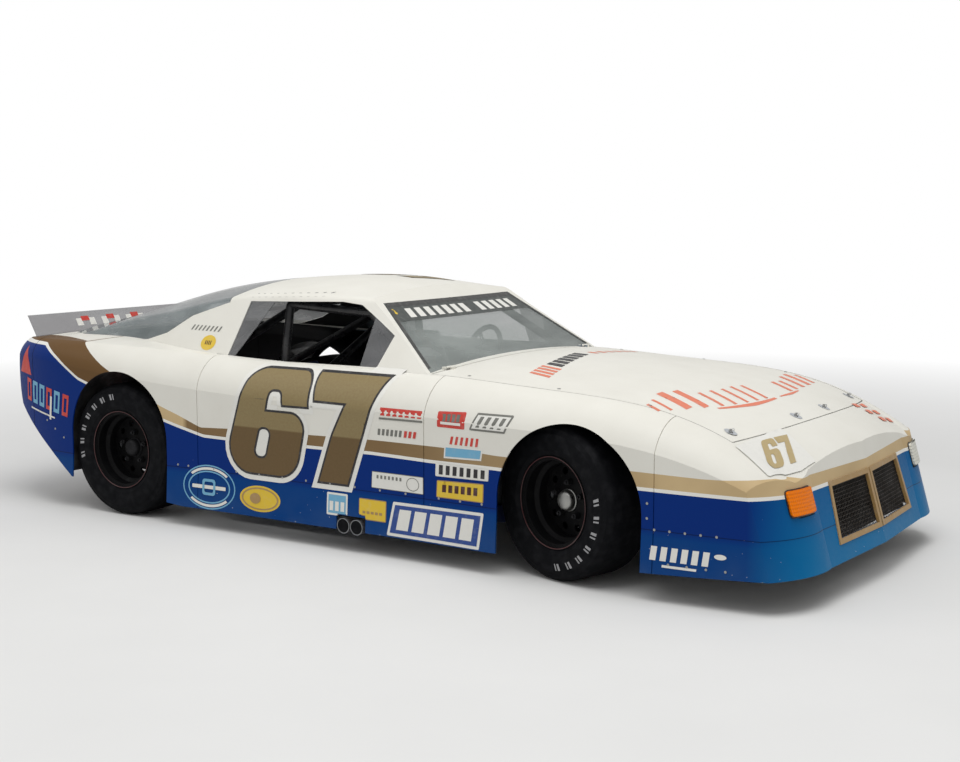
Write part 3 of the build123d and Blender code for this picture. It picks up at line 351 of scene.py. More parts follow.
def body_paint():
    """The car's livery: off-white, a gold band over a thin line, and blue below."""
    paint = settings("paint")
    sketch = Sketch("body paint")
    x, y, z = sketch.axes()
    side = sketch.size(y)
    grime = sketch.noise(5.0, 6.0)
    blue_top = sketch.outline(x, BLUE_TOP)
    in_band = sketch.times(sketch.under(z, sketch.outline(x, BAND_TOP)),
                           sketch.over(side, sketch.outline(x, DECK_EDGE)))
    in_line = sketch.under(z, sketch.reckon("ADD", blue_top, paint.line_width))
    face = sketch.blend(sketch.spread(grime, 0.35, 0.8, 0.0, 0.16), paint.upper, GRIME)
    face = sketch.blend(in_band, face, band_gold(sketch, x))
    face = sketch.blend(in_line, face, paint.pinstripe)
    face = sketch.blend(sketch.under(z, blue_top), face, lower_blue(sketch, x, z, side, grime))
    cabin = sketch.times(sketch.spread(x, CABIN_REAR, CABIN_REAR + 0.05),
                         sketch.spread(x, CABIN_FRONT, CABIN_FRONT - 0.02))
    lining = sketch.blend(cabin, PANEL_BACK, CABIN_LINING)
    face = sketch.blend(inner_face(sketch, x, y), face, lining)
    step = sketch.times(sketch.spread(z, SKIRT_HEIGHT - 0.006, SKIRT_HEIGHT + 0.002), 0.5)
    sketch.bump(sketch.reckon("ADD", sketch.noise(3.2, 1.0), step), 0.004, 0.55)
    sketch.shade(face, sketch.patches(60.0, 0.32, 0.44, 4.0), Coat_Weight=0.04, Coat_Roughness=0.12,
                 Specular_IOR_Level=0.07)


def number_paint():
    """Gold of the race number, lighter above the band's height."""
    paint = settings("paint")
    sketch = Sketch("number gold")
    light = sketch.spread(sketch.axes()[2], 0.538, 0.546)
    gold = sketch.blend(light, paint.number_dark, paint.number_light)
    gold = sketch.blend(sketch.patches(90.0, 0.0, 0.3, 5.0), gold, (0.2, 0.12, 0.055))
    sketch.shade(gold, 0.42, Coat_Weight=0.08, Coat_Roughness=0.2, Specular_IOR_Level=0.2)


def enamel(name, tint, roughness=0.35, wear=(0.2, 0.19, 0.18), share=0.25, coat=0.2, specular=0.5):
    """Enamel over metal, dusty and worn in patches."""
    sketch = Sketch(name)
    worn = sketch.blend(sketch.patches(14.0, 0.0, share, 6.0, 0.45, 0.75), tint, wear)
    sketch.bump(sketch.noise(160.0, 2.0), 0.0006, 0.4)
    finish = sketch.patches(40.0, roughness * 0.8, min(1.0, roughness * 1.3))
    sketch.shade(worn, finish, Coat_Weight=coat, Specular_IOR_Level=specular)


def frame_enamel():
    """The frame's blue enamel, bare steel on the hood pins that stand above it."""
    sketch = Sketch("frame enamel")
    x, _, z = sketch.axes()
    bare = sketch.times(sketch.over(x, 1.8), sketch.over(z, 0.6))
    worn = sketch.patches(14.0, 0.0, 0.3, 6.0, 0.45, 0.75)
    tint = sketch.blend(worn, (0.008, 0.02, 0.09), (0.14, 0.13, 0.12))
    sketch.feed(sketch.shader.inputs["Metallic"], bare)
    sketch.shade(sketch.blend(bare, tint, (0.42, 0.42, 0.41)), sketch.patches(40.0, 0.28, 0.45))


def metal(name, tint, roughness=0.35, brushed="X"):
    """Brushed or machined metal."""
    sketch = Sketch(name)
    streaks = sketch.waves(brushed, 120.0, 6.0)
    shade = sketch.blend(sketch.times(streaks, 0.35), tint, [0.6 * part for part in tint])
    sketch.bump(streaks, 0.0003, 0.3)
    sketch.shade(shade, sketch.patches(30.0, roughness, roughness * 1.5, 4.0), Metallic=1.0)


def heat_stained():
    """Exhaust tube, browned and blued by heat."""
    sketch = Sketch("heat-stained tube")
    heat = sketch.patches(6.0, detail=5.0, low=0.35, high=0.65)
    tint = sketch.blend(heat, (0.24, 0.17, 0.11), (0.2, 0.21, 0.26))
    sketch.shade(tint, sketch.patches(25.0, 0.35, 0.6), Metallic=0.8)


def core_fins():
    """The radiator's fins and tubes."""
    sketch = Sketch("core fins")
    fins = sketch.times(sketch.waves("Z", 180.0), sketch.spread(sketch.waves("Y", 60.0), 0.0, 0.5))
    sketch.bump(fins, 0.002)
    sketch.shade(sketch.blend(fins, (0.02, 0.02, 0.02), (0.22, 0.22, 0.23)), 0.5, Metallic=0.6)


def rubber():
    """Racing rubber: a dusty tread with wear lines, and a smoother sidewall."""
    sketch = Sketch("racing rubber")
    dust = sketch.patches(24.0, 0.0, 0.22, 8.0, 0.45, 0.8)
    tint = sketch.blend(dust, settings("wheel").rubber, (0.045, 0.045, 0.05))
    relief = sketch.reckon("ADD", sketch.noise(260.0), sketch.times(sketch.noise(35.0), 0.6))
    sketch.bump(relief, 0.0009, 0.6)
    sketch.shade(tint, sketch.patches(18.0, 0.58, 0.82, 5.0), Specular_IOR_Level=0.1)


def pane(name, clear, hazy, thin, thick):
    """Clear plastic sheet, greyed by haze and fine scratches."""
    sketch = Sketch(name)
    haze = sketch.spread(sketch.noise(3.0, 5.0, sketch.stretched((1.0, 0.5, 2.0))), 0.3, 0.7)
    sketch.feed(sketch.shader.inputs["Alpha"], sketch.spread(haze, 0.0, 1.0, thin, thick))
    scratches = sketch.noise(90.0, 4.0, sketch.stretched((0.15, 1.0, 0.3)))
    sketch.bump(scratches, 0.0002, 0.2)
    sketch.shade(sketch.blend(haze, clear, hazy), sketch.spread(scratches, 0.4, 0.7, 0.05, 0.16),
                 Coat_Weight=0.8, Specular_IOR_Level=0.8)


def lens(name, left, right):
    """A ribbed lamp lens, one tint on each side of the car."""
    sketch = Sketch(name)
    tint = sketch.blend(sketch.over(sketch.axes()[1], 0.0), right, left)
    sketch.bump(sketch.reckon("ADD", sketch.waves("Y", 28.0), sketch.waves("Z", 22.0)), 0.0025, 0.6)
    sketch.shade(tint, sketch.patches(50.0, 0.12, 0.25), Specular_IOR_Level=0.12)


def vinyl(name, tint):
    """Cut vinyl or sign paint, slightly faded and scuffed."""
    sketch = Sketch(name)
    faded = sketch.blend(sketch.patches(45.0, 0.0, 0.15, 6.0, 0.5, 0.8), tint, (0.55, 0.55, 0.53))
    sketch.bump(sketch.noise(200.0, 2.0), 0.0002, 0.3)
    sketch.shade(faded, sketch.patches(30.0, 0.3, 0.48))


def cloth(name, tint, weave=420.0):
    """Woven cover or webbing."""
    sketch = Sketch(name)
    dusty = [min(1.0, 2.2 * part + 0.02) for part in tint]
    shade = sketch.blend(sketch.patches(20.0, 0.0, 0.4, 4.0, 0.35, 0.75), tint, dusty)
    sketch.bump(sketch.times(sketch.waves("X", weave), sketch.waves("Z", weave)), 0.0006, 0.8)
    sketch.shade(shade, 0.85, Sheen_Weight=0.4)


# Panes: name, colours of clear and hazy parts, and how much each hides
PANES = (
    ("screen pane", (0.14, 0.165, 0.155), (0.33, 0.37, 0.35), 0.5, 0.72),
    ("side pane", (0.05, 0.055, 0.06), (0.12, 0.12, 0.125), 0.38, 0.6),
    ("rear pane", (0.16, 0.195, 0.2), (0.27, 0.31, 0.315), 0.55, 0.78),
    ("blade pane", (0.11, 0.11, 0.12), (0.22, 0.21, 0.22), 0.48, 0.66),
)
# Enamels: name, tint, roughness, then the wear's tint and share, the coat and the specular level
ENAMELS = (
    ("cage enamel", (0.01, 0.01, 0.012), 0.3),
    ("fuel box enamel", (0.4, 0.03, 0.02)),
    ("spring enamel", (0.45, 0.05, 0.02)),
    ("wheel enamel", (0.0035, 0.0035, 0.004), 0.5, (0.012, 0.012, 0.012), 0.35, 0.0, 0.12),
    ("mesh enamel", (0.03, 0.022, 0.015), 0.55),
    ("dark plastic", (0.02, 0.02, 0.022), 0.5),
    ("grip", (0.012, 0.012, 0.013), 0.7),
)
# Metals: name, tint, roughness and the way it is brushed
METALS = (
    ("sheet alloy", (0.5, 0.51, 0.52), 0.38),
    ("cast iron", (0.1, 0.1, 0.105), 0.6),
    ("machined steel", (0.33, 0.34, 0.35), 0.35, "Y"),
    # Dark steel: brake soot on the hubs, and painted shade on the rear caps
    ("sooty steel", (0.045, 0.045, 0.048), 0.55, "Y"),
)
# Lenses: name, tint on the left and on the right
LENSES = (
    ("front lens", (0.8, 0.79, 0.7), (0.96, 0.215, 0.0)),
    ("rear lens", (0.36, 0.012, 0.01), (0.36, 0.012, 0.01)),
)
# Woven stuffs: name, tint and fineness
CLOTHS = (("seat cover", (0.015, 0.016, 0.022)), ("belt webbing", (0.26, 0.02, 0.02), 700.0))
# Plain tints of signs and small pieces: name, colour
VINYLS = (
    ("sign white", (0.8, 0.79, 0.74)),
    ("sign black", (0.02, 0.018, 0.02)),
    ("sign yellow", (0.76, 0.52, 0.03)),
    ("sign red", (0.6, 0.045, 0.03)),
    ("sign light blue", (0.16, 0.42, 0.62)),
    ("sign blue", (0.016, 0.06, 0.27)),
    ("sign grey", (0.17, 0.17, 0.15)),
    ("sign maroon", (0.055, 0.008, 0.006)),
    ("sign pale gold", (0.47, 0.36, 0.17)),
    ("sign gold", (0.4, 0.25, 0.095)),
    ("hood red", (0.78, 0.2, 0.105)),
    ("banner grey", (0.06, 0.068, 0.064)),
    ("sidewall white", (0.33, 0.33, 0.34)),
    ("edge trim", (0.05, 0.05, 0.048)),
    ("pale alloy", (0.46, 0.48, 0.5)),
)
# Each kind of finish and its rows
KINDS = (
    (pane, PANES), (enamel, ENAMELS), (metal, METALS), (lens, LENSES), (cloth, CLOTHS), (vinyl, VINYLS),
)
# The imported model's pieces by their finish; the tyres and the rims are found by their names
NODE_FINISHES = {
    "body paint": SKIN_NODES,
    "frame enamel": ("chassis_frame", "front_clip", "rear_clip"),
    "cage enamel": ("roll_cage",),
    "sheet alloy": ("floor_pan", "dash_panel", "seat"),
    "cast iron": ("engine_block",),
    "core fins": ("radiator",),
    "fuel box enamel": ("fuel_cell",),
    "machined steel": ("front_arms", "tie_rods", "rear_axle", "steering_column", "knuckle_left",
                       "knuckle_right"),
    "spring enamel": ("coil_shocks",),
    "heat-stained tube": ("exhaust_pipes",),
    "screen pane": ("windshield",),
    "side pane": ("side_glass",),
    "rear pane": ("rear_glass",),
    "blade pane": ("rear_spoiler",),
    "mesh enamel": ("grille_mesh",),
    "front lens": ("front_lamps",),
    "rear lens": ("tail_lamps",),
    "grip": ("steering_wheel",),
}
FINISH_OF = {name: finish for finish, names in NODE_FINISHES.items() for name in names}


class RACECAR_OT_finishes(bpy.types.Operator):
    """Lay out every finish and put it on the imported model's own pieces"""

    bl_idname = "race_car.finishes"
    bl_label = "Finishes"

    def execute(self, context):
        """Make the materials, then assign them."""
        for make in (body_paint, number_paint, rubber, core_fins, heat_stained, frame_enamel):
            make()
        for kind, rows in KINDS:
            for row in rows:
                kind(*row)
        enamel("wheel line", settings("wheel").line)
        metal("plated steel", settings("wheel").cap, 0.3, "Z")
        for name, node in frame["nodes"].items():
            plain = "racing rubber" if name.startswith("tyre") else "wheel enamel"
            node.data.materials.clear()
            node.data.materials.append(bpy.data.materials[FINISH_OF.get(name, plain)])
        return {"FINISHED"}


def spots(rows):
    """Rows of plain numbers as vectors."""
    return [Vector(row) for row in rows]


def turns(count, shift=0.0):
    """Even angles round a circle."""
    return [math.tau * (k + shift) / count for k in range(count)]


def on_circle(radius, turn):
    """Across and up on a circle, by a turn from its top."""
    return radius * math.sin(turn), radius * math.cos(turn)


def loop_faces(count, start=0):
    """The faces between two loops of points, one listed after the other."""
    return [[start + i, start + (i + 1) % count, start + count + (i + 1) % count, start + count + i]
            for i in range(count)]


def turned(place, degrees, axis):
    """A frame at a place, turned about one axis."""
    return Matrix.Translation(place) @ Matrix.Rotation(math.radians(degrees), 4, axis)


def framed(place, x, y, z):
    """A frame at a place, with its three axes given."""
    return Matrix.Translation(place) @ Matrix((x, y, z)).transposed().to_4x4()


def at(point, side):
    """A left-hand place, or its twin on the right."""
    return Vector((point[0], side * point[1], point[2]))


def put(name, data):
    """A new object in the scene."""
    made = bpy.data.objects.new(name, data)
    bpy.context.scene.collection.objects.link(made)
    return made


def piece(name, points, faces, finish, body="chassis", smooth=True):
    """A mesh object that rides on a body."""
    mesh = bpy.data.meshes.new(name)
    mesh.from_pydata([tuple(point) for point in points], [], faces)
    build = bmesh.new()
    build.from_mesh(mesh)
    bmesh.ops.remove_doubles(build, verts=build.verts, dist=1e-6)
    bmesh.ops.recalc_face_normals(build, faces=build.faces)
    build.to_mesh(mesh)
    build.free()
    mesh.materials.append(bpy.data.materials[finish])
    if smooth:
        mesh.shade_smooth()
        mesh.set_sharp_from_angle(angle=math.radians(40))
    made = put(name, mesh)
    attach(made, body)
    return made


class Heap:
    """Points and faces of one piece, gathered shape by shape."""

    def __init__(self):
        self.points, self.faces = [], []

    def add(self, points, faces):
        """Take in one more shape."""
        start = len(self.points)
        self.points += spots(points)
        self.faces += [[start + corner for corner in face] for face in faces]

    def lathe(self, profile, place, segments=96, closed=True):
        """Turn a profile, as distance along the axis and radius, round a place's Y axis."""
        rows = len(profile)
        points, faces = [], []
        for step, angle in enumerate(turns(segments)):
            for out, radius in profile:
                across, up = on_circle(radius, angle)
                points.append(place @ Vector((across, out, up)))
            here, there = step * rows, (step + 1) % segments * rows
            for i in range(rows if closed else rows - 1):
                j = (i + 1) % rows
                faces.append([here + i, here + j, there + j, there + i])
        self.add(points, faces)

    def tube(self, path, radius, sides=10):
        """A round bar with closed ends along a path of points."""
        path = spots(path)
        points, faces = [], []
        across = (path[1] - path[0]).normalized().orthogonal().normalized()
        for i, point in enumerate(path):
            along = (path[min(i + 1, len(path) - 1)] - path[max(i - 1, 0)]).normalized()
            across = (across - along * across.dot(along)).normalized()
            up = along.cross(across)
            points += [point + radius * (math.cos(angle) * across + math.sin(angle) * up)
                       for angle in turns(sides)]
        for i in range(len(path) - 1):
            faces += loop_faces(sides, i * sides)
        last = (len(path) - 1) * sides
        self.add(points, faces + [list(range(sides))[::-1], [last + k for k in range(sides)]])

    def slab(self, outline, thickness):
        """A flat outline of points, thickened along its own normal."""
        outline = spots(outline)
        count = len(outline)
        normal = sum(((outline[i] - outline[0]).cross(outline[i + 1] - outline[0])
                      for i in range(1, count - 1)), Vector()).normalized()
        faces = [list(range(count)), [count + i for i in range(count)][::-1]] + loop_faces(count)
        self.add(outline + [point + normal * thickness for point in outline], faces)

    def piece(self, name, finish, slot, body="chassis", smooth=True):
        """The heap as one object."""
        return piece(name, self.points, self.faces, finish, body, smooth)


def rounded(corners, steps=8):
    """A closed outline through corners given as two places and a radius."""
    path = []
    count = len(corners)
    for i, (x, y, radius) in enumerate(corners):
        corner = Vector((x, y))
        if radius <= 0.0:
            path.append(corner)
            continue
        before = (Vector(corners[i - 1][:2]) - corner).normalized()
        after = (Vector(corners[(i + 1) % count][:2]) - corner).normalized()
        half = before.angle(after) / 2
        reach = radius / math.tan(half)
        centre = corner + (before + after).normalized() * (radius / math.sin(half))
        start, end = corner + before * reach - centre, corner + after * reach - centre
        turn = start.angle_signed(end)
        for k in range(steps + 1):
            angle = -turn * k / steps
            path.append(centre + Matrix.Rotation(angle, 2) @ start)
    return path


def box_outline(x_low, x_high, y_low, y_high, radius=0.0):
    """A rectangle with rounded corners."""
    return rounded([(x_high, y_low, radius), (x_high, y_high, radius),
                    (x_low, y_high, radius), (x_low, y_low, radius)], 5)


def oval(x, y, half_x, half_y, steps=40):
    """An oval outline."""
    return [Vector((x + half_x * math.cos(turn), y + half_y * math.sin(turn))) for turn in turns(steps)]


def arc_band(middle, outer, inner, start, end, steps=18):
    """Part of an oval ring, from one angle to another in degrees."""
    angles = [math.radians(start + (end - start) * k / steps) for k in range(steps + 1)]
    outer, inner = ([Vector((middle[0] + half_x * math.cos(turn), middle[1] + half_y * math.sin(turn)))
                     for turn in angles] for half_x, half_y in (outer, inner))
    return outer + inner[::-1]


def grown(outline, distance):
    """An outline moved outwards along its own sides."""
    count = len(outline)
    area = sum(outline[i - 1].x * outline[i].y - outline[i].x * outline[i - 1].y for i in range(count))
    sign = 1.0 if area > 0 else -1.0
    moved = []
    for i, point in enumerate(outline):
        before = (point - outline[i - 1]).normalized()
        after = (outline[(i + 1) % count] - point).normalized()
        normal_a = Vector((before.y, -before.x)) * sign
        normal_b = Vector((after.y, -after.x)) * sign
        middle = (normal_a + normal_b).normalized()
        moved.append(point + middle * distance / max(0.35, middle.dot(normal_a)))
    return moved


def inside(point, outlines):
    """Whether a point lies within an odd number of outlines."""
    crossings = 0
    for outline in outlines:
        for i, b in enumerate(outline):
            a = outline[i - 1]
            if (a.y > point.y) != (b.y > point.y):
                crossings += point.x < a.x + (point.y - a.y) * (b.x - a.x) / (b.y - a.y)
    return crossings % 2 == 1


def filled(outlines, pitch):
    """Flat points and triangles that fill outlines, with inner points at a pitch."""
    points, edges = [], []
    for outline in outlines:
        start = len(points)
        for i, a in enumerate(outline):
            b = outline[(i + 1) % len(outline)]
            parts = max(1, int((b - a).length / pitch))
            points += [a.lerp(b, k / parts) for k in range(parts)]
        count = len(points) - start
        edges += [(start + i, start + (i + 1) % count) for i in range(count)]
    low = Vector((min(p.x for p in points), min(p.y for p in points)))
    high = Vector((max(p.x for p in points), max(p.y for p in points)))
    for i in range(1, int((high.x - low.x) / pitch) + 1):
        for j in range(1, int((high.y - low.y) / pitch) + 1):
            spot = low + Vector((i * pitch, j * pitch))
            if inside(spot, outlines):
                points.append(spot)
    points, _, faces, *_ = delaunay_2d_cdt(points, edges, [], 0, 1e-5)
    kept = []
    for face in faces:
        centre = sum((points[corner] for corner in face), Vector((0, 0))) / len(face)
        if inside(centre, outlines):
            kept.append(list(face))
    return points, kept


def skin_tree(names):
    """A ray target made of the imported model's named pieces."""
    points, faces = [], []
    for name in names:
        mesh = frame["nodes"][name].data
        start = len(points)
        points += [vertex.co.copy() for vertex in mesh.vertices]
        faces += [[start + corner for corner in face.vertices] for face in mesh.polygons]
    return BVHTree.FromPolygons(points, faces)


SKIN = skin_tree(SKIN_NODES)
# How far a ray flies, how far aside it looks over a seam, and what a seam's edge may stand proud
REACH, SEAM_STEP, SEAM_PROUD = 3.0, 0.007, 0.003


class Cast:
    """A way to throw flat points onto the car: from one side, from above or from the front."""

    def __init__(self, direction, lay, tree=SKIN):
        self.direction, self.lay, self.tree = Vector(direction), lay, tree
        self.step = self.direction.cross(Vector((0, 0, 1))).normalized() * SEAM_STEP
        if self.step.length < SEAM_STEP / 2:
            self.step = Vector((SEAM_STEP, 0, 0))

    def throw(self, point, lift):
        """Where a flat point lands, standing off by the lift."""
        start = self.lay(point)
        best = None
        for shift in (Vector(), self.step, -self.step):
            place, normal, _, distance = self.tree.ray_cast(start + shift, self.direction, REACH)
            if place and (best is None or distance < best[0] - SEAM_PROUD):
                best = (distance, normal if normal.dot(self.direction) < 0 else -normal)
        if best is None:
            return None
        return start + self.direction * best[0] + best[1] * lift


def ahead(point):
    """Front-view y and z."""
    return Vector((3.0, point.x, point.y))


# Side-view x and z from the right and from the left, plan-view x and y, then front views
RIGHT = Cast((0, 1, 0), lambda point: Vector((point.x, -1.4, point.y)))
LEFT = Cast((0, -1, 0), lambda point: Vector((point.x, 1.4, point.y)))
TOP = Cast((0, 0, -1), lambda point: Vector((point.x, point.y, 2.0)))
SCREEN = Cast((-1, 0, 0), ahead, skin_tree(("windshield",)))
LAMP_FACE = Cast((-1, 0, 0), ahead, skin_tree(("nose_cover", "front_lamps")))
BLADE = Cast((-1, 0, 0), lambda point: Vector((-1.9, point.x, point.y)), skin_tree(("rear_spoiler",)))
SIDES = (("right", -1, RIGHT), ("left", 1, LEFT))


def draped(heap, cast, outlines, level):
    """Lay filled outlines on the car, a number of lifts up."""
    trim = settings("trim")
    flat, faces = filled(outlines, trim.pitch)
    placed = [cast.throw(point, trim.lift * level) for point in flat]
    known = [point for point in placed if point is not None]
    if not known:
        raise RuntimeError("an outline misses the skin")
    faces = [face for face in faces if all(placed[corner] is not None for corner in face)]
    heap.add([point if point is not None else known[0] for point in placed], faces)


def sign(name, cast, layers, body="chassis", level=1):
    """A painted or vinyl mark of several layers, each a finish and its outlines."""
    for height, (part, finish, groups) in enumerate(layers, start=level):
        heap = Heap()
        for outlines in groups:
            draped(heap, cast, outlines, height)
        heap.piece(name + "_" + part, finish, "body_paint", body)


# Digits in units of their height: corners as across, up and radius, then the holes
SIX = (
    ((0.978, 0.607, 0.148), (0.84, 0.0, 0.25), (-0.057, 0.0, 0.25), (0.258, 1.0, 0.197),
     (0.974, 1.0, 0.15), (0.998, 0.69, 0.0), (0.698, 0.686, 0.0), (0.677, 0.824, 0.069),
     (0.519, 0.824, 0.069), (0.471, 0.607, 0.0)),
    ((0.485, 0.148, 0.073), (0.308, 0.148, 0.073), (0.396, 0.456, 0.073), (0.564, 0.456, 0.073)),
)
SEVEN = (
    ((-0.034, 1.0, 0.0), (0.02, 0.757, 0.0), (0.404, 0.755, 0.0), (0.238, 0.442, 0.9), (0.08, 0.0, 0.0),
     (0.413, 0.0, 0.0), (0.589, 0.493, 0.9), (0.764, 1.0, 0.0)),
)
DIGIT_PITCH = 1.06
FLANK_DIGIT, ROOF_DIGIT = 0.507, 0.25
# Race numbers: name, cast, foot of the six, the vectors of a digit's width and height, how wide the
# dark edge and the white border are, then the face's finish and its level
NUMBERS = (
    ("number_right", RIGHT, (-0.668, 0.319), (FLANK_DIGIT, 0), (0, FLANK_DIGIT), 0.011, 0.024),
    ("number_left", LEFT, (0.257, 0.319), (-FLANK_DIGIT, 0), (0, FLANK_DIGIT), 0.011, 0.024),
    ("number_roof", TOP, (-0.62, 0.03), (ROOF_DIGIT, 0), (0, ROOF_DIGIT), 0.009, 0.0),
    ("number_nose", TOP, (2.119, -0.796), (0.024, 0.125), (-0.12, 0.126), 0.0, 0.0, "sign pale gold", 3),
)
NOSE_PATCH = ((1.967, -0.806), (2.137, -0.853), (2.189, -0.643), (2.196, -0.499), (2.002, -0.406))


def digit(shape, origin, across, up):
    """A digit's outlines, laid by the vectors of its width and its height."""
    return [[origin + across * point.x + up * point.y for point in rounded(corners)] for corners in shape]


def number(name, cast, start, across, up, edge, border, gold="number gold", level=1):
    """The race number: a white border, a dark outline and a gold face."""
    start, across, up = spots((start, across, up))
    six = digit(SIX, start, across, up)
    seven = digit(SEVEN, start + across * DIGIT_PITCH, across, up)
    layers = []
    if border:
        borders = [[grown(outlines[0], edge + border)] for outlines in (six, seven)]
        layers.append(("border", "sign white", borders))
    if edge:
        edges = [[grown(six[0], edge), grown(six[1], -edge)], [grown(seven[0], edge)]]
        layers.append(("outline", "sign black", edges))
    sign(name, cast, layers + [("face", gold, [six, seven])], level=level)


class RACECAR_OT_numbers(bpy.types.Operator):
    """Paint the race number on both flanks, the roof and the nose"""

    bl_idname = "race_car.numbers"
    bl_label = "Race numbers"

    def execute(self, context):
        """Lay each number on its surface, the nose's over a white patch."""
        ground = rounded([(*corner, 0.012) for corner in NOSE_PATCH])
        sign("number_ground", TOP, (("patch", "sign white", [[ground]]),))
        for row in NUMBERS:
            number(*row)
        return {"FINISHED"}


def across_plate(corners, u, v):
    """A place on a four-cornered plate, from its lower left corner."""
    low_left, low_right, high_right, high_left = spots(corners)
    return low_left.lerp(low_right, u).lerp(high_left.lerp(high_right, u), v)


def patch(corners, u_low, u_high, v_low, v_high):
    """Part of a four-cornered plate."""
    return [across_plate(corners, u, v)
            for u, v in ((u_low, v_low), (u_high, v_low), (u_high, v_high), (u_low, v_high))]


def bars(corners, count, share=0.62, v_low=0.0, v_high=1.0, u_low=0.0, u_high=1.0):
    """A row of upright bars across a plate, as plain marks that say nothing."""
    pitch = (u_high - u_low) / count
    return [[patch(corners, u_low + pitch * (i + 0.5 - share / 2), u_low + pitch * (i + 0.5 + share / 2),
                   v_low, v_high)] for i in range(count)]


def hollow(corners, u_low, u_high):
    """An upright block with an open middle, across part of a plate."""
    edge = (u_high - u_low) * 0.28
    return [patch(corners, u_low, u_high, 0.3, 0.98),
            patch(corners, u_low + edge, u_high - edge, 0.42, 0.86)]


# Bordered plates on the flank: name, corners from the lower left, rim, finishes of rim, face and marks,
# then the marks: number, share of their pitch, lowest and highest, first and last
PLATES = (
    ("square_mark", ((-0.044, 0.166), (0.08, 0.166), (0.08, 0.273), (-0.044, 0.273)),
     0.01, "sign white", "sign light blue", "sign white", 3, 0.66, 0.2, 0.62, 0.1, 0.9),
    ("yellow_square", ((0.148, 0.165), (0.308, 0.165), (0.308, 0.265), (0.148, 0.265)),
     0.004, "sign gold", "sign yellow", "sign gold", 5, 0.7, 0.3, 0.42, 0.12, 0.88),
    ("broad_plate", ((0.314, 0.109), (0.832, 0.107), (0.853, 0.273), (0.347, 0.268)),
     0.014, "sign white", "sign blue", "sign white", 5, 0.76, 0.2, 0.8, 0.07, 0.93),
    ("white_plate", ((0.219, 0.32), (0.518, 0.318), (0.518, 0.399), (0.223, 0.399)),
     0.003, "sign grey", "sign white", "sign grey", 7, 0.5, 0.6, 0.8, 0.08, 0.6),
    ("red_badge", ((0.595, 0.637), (0.746, 0.637), (0.749, 0.713), (0.596, 0.706)),
     0.014, "sign red", "sign red", "sign grey", 4, 0.74, 0.4, 0.84, 0.16, 0.84),
    ("long_plate", ((0.585, 0.412), (0.876, 0.418), (0.879, 0.474), (0.588, 0.476)),
     0.003, "sign white", "sign white", "sign black", 7, 0.56, 0.16, 0.84, 0.04, 0.96),
    ("yellow_plate", ((0.59, 0.316), (0.849, 0.318), (0.852, 0.404), (0.594, 0.395)),
     0.004, "sign gold", "sign yellow", "sign maroon", 6, 0.62, 0.34, 0.76, 0.1, 0.9),
    ("slant_plate", ((0.77, 0.637), (0.962, 0.637), (1.0, 0.717), (0.808, 0.715)),
     0.009, "sign grey", "sign white", "sign grey", 4, 0.5, 0.2, 0.8, 0.1, 0.9),
)
# Places without a rim of their own, as corners from the lower left
ROOF_SCRIPT = ((-0.8, 1.15), (-0.3, 1.172), (-0.285, 1.19), (-0.79, 1.168))
HIGH_STRIP = ((0.265, 0.642), (0.514, 0.645), (0.508, 0.699), (0.271, 0.699))
LOW_STRIP = ((0.252, 0.568), (0.478, 0.568), (0.485, 0.602), (0.255, 0.6))
POST_BARS = ((-1.015, 0.906), (-0.965, 0.906), (-0.965, 0.926), (-1.015, 0.926))
POST_SCRIPT = ((-1.17, 0.972), (-0.93, 0.972), (-0.915, 0.998), (-1.155, 0.998))
RED_ROW = ((0.657, 0.564), (0.825, 0.565), (0.831, 0.603), (0.666, 0.6))
BLUE_BAR = ((0.641, 0.507), (0.831, 0.513), (0.837, 0.551), (0.644, 0.548))
DAM = ((1.664, 0.15), (1.94, 0.15), (1.95, 0.236), (1.674, 0.236))
QUARTER = ((-2.205, 0.5), (-1.8, 0.44), (-1.775, 0.61), (-2.2, 0.68))
TAIL_FLASH = ((-2.3, 0.7), (-2.15, 0.69), (-2.205, 0.85))
# Middles of the badge, the label and the round marks
BADGE, LABEL = (0.67, 0.657), (0.458, 0.359)
RING, YELLOW_OVAL, POST = (-0.795, 0.217), (-0.462, 0.193), (-0.99, 0.916)


def plate_layers(corners, rim, edge, face, ink, *marks):
    """A bordered plate: its rim, its face and a row of bars."""
    return (("edge", edge, [[rounded([(*corner, 0.006) for corner in corners], 4)]]),
            ("face", face, [[grown(spots(corners), -rim)]]),
            ("marks", ink, bars(corners, *marks)))


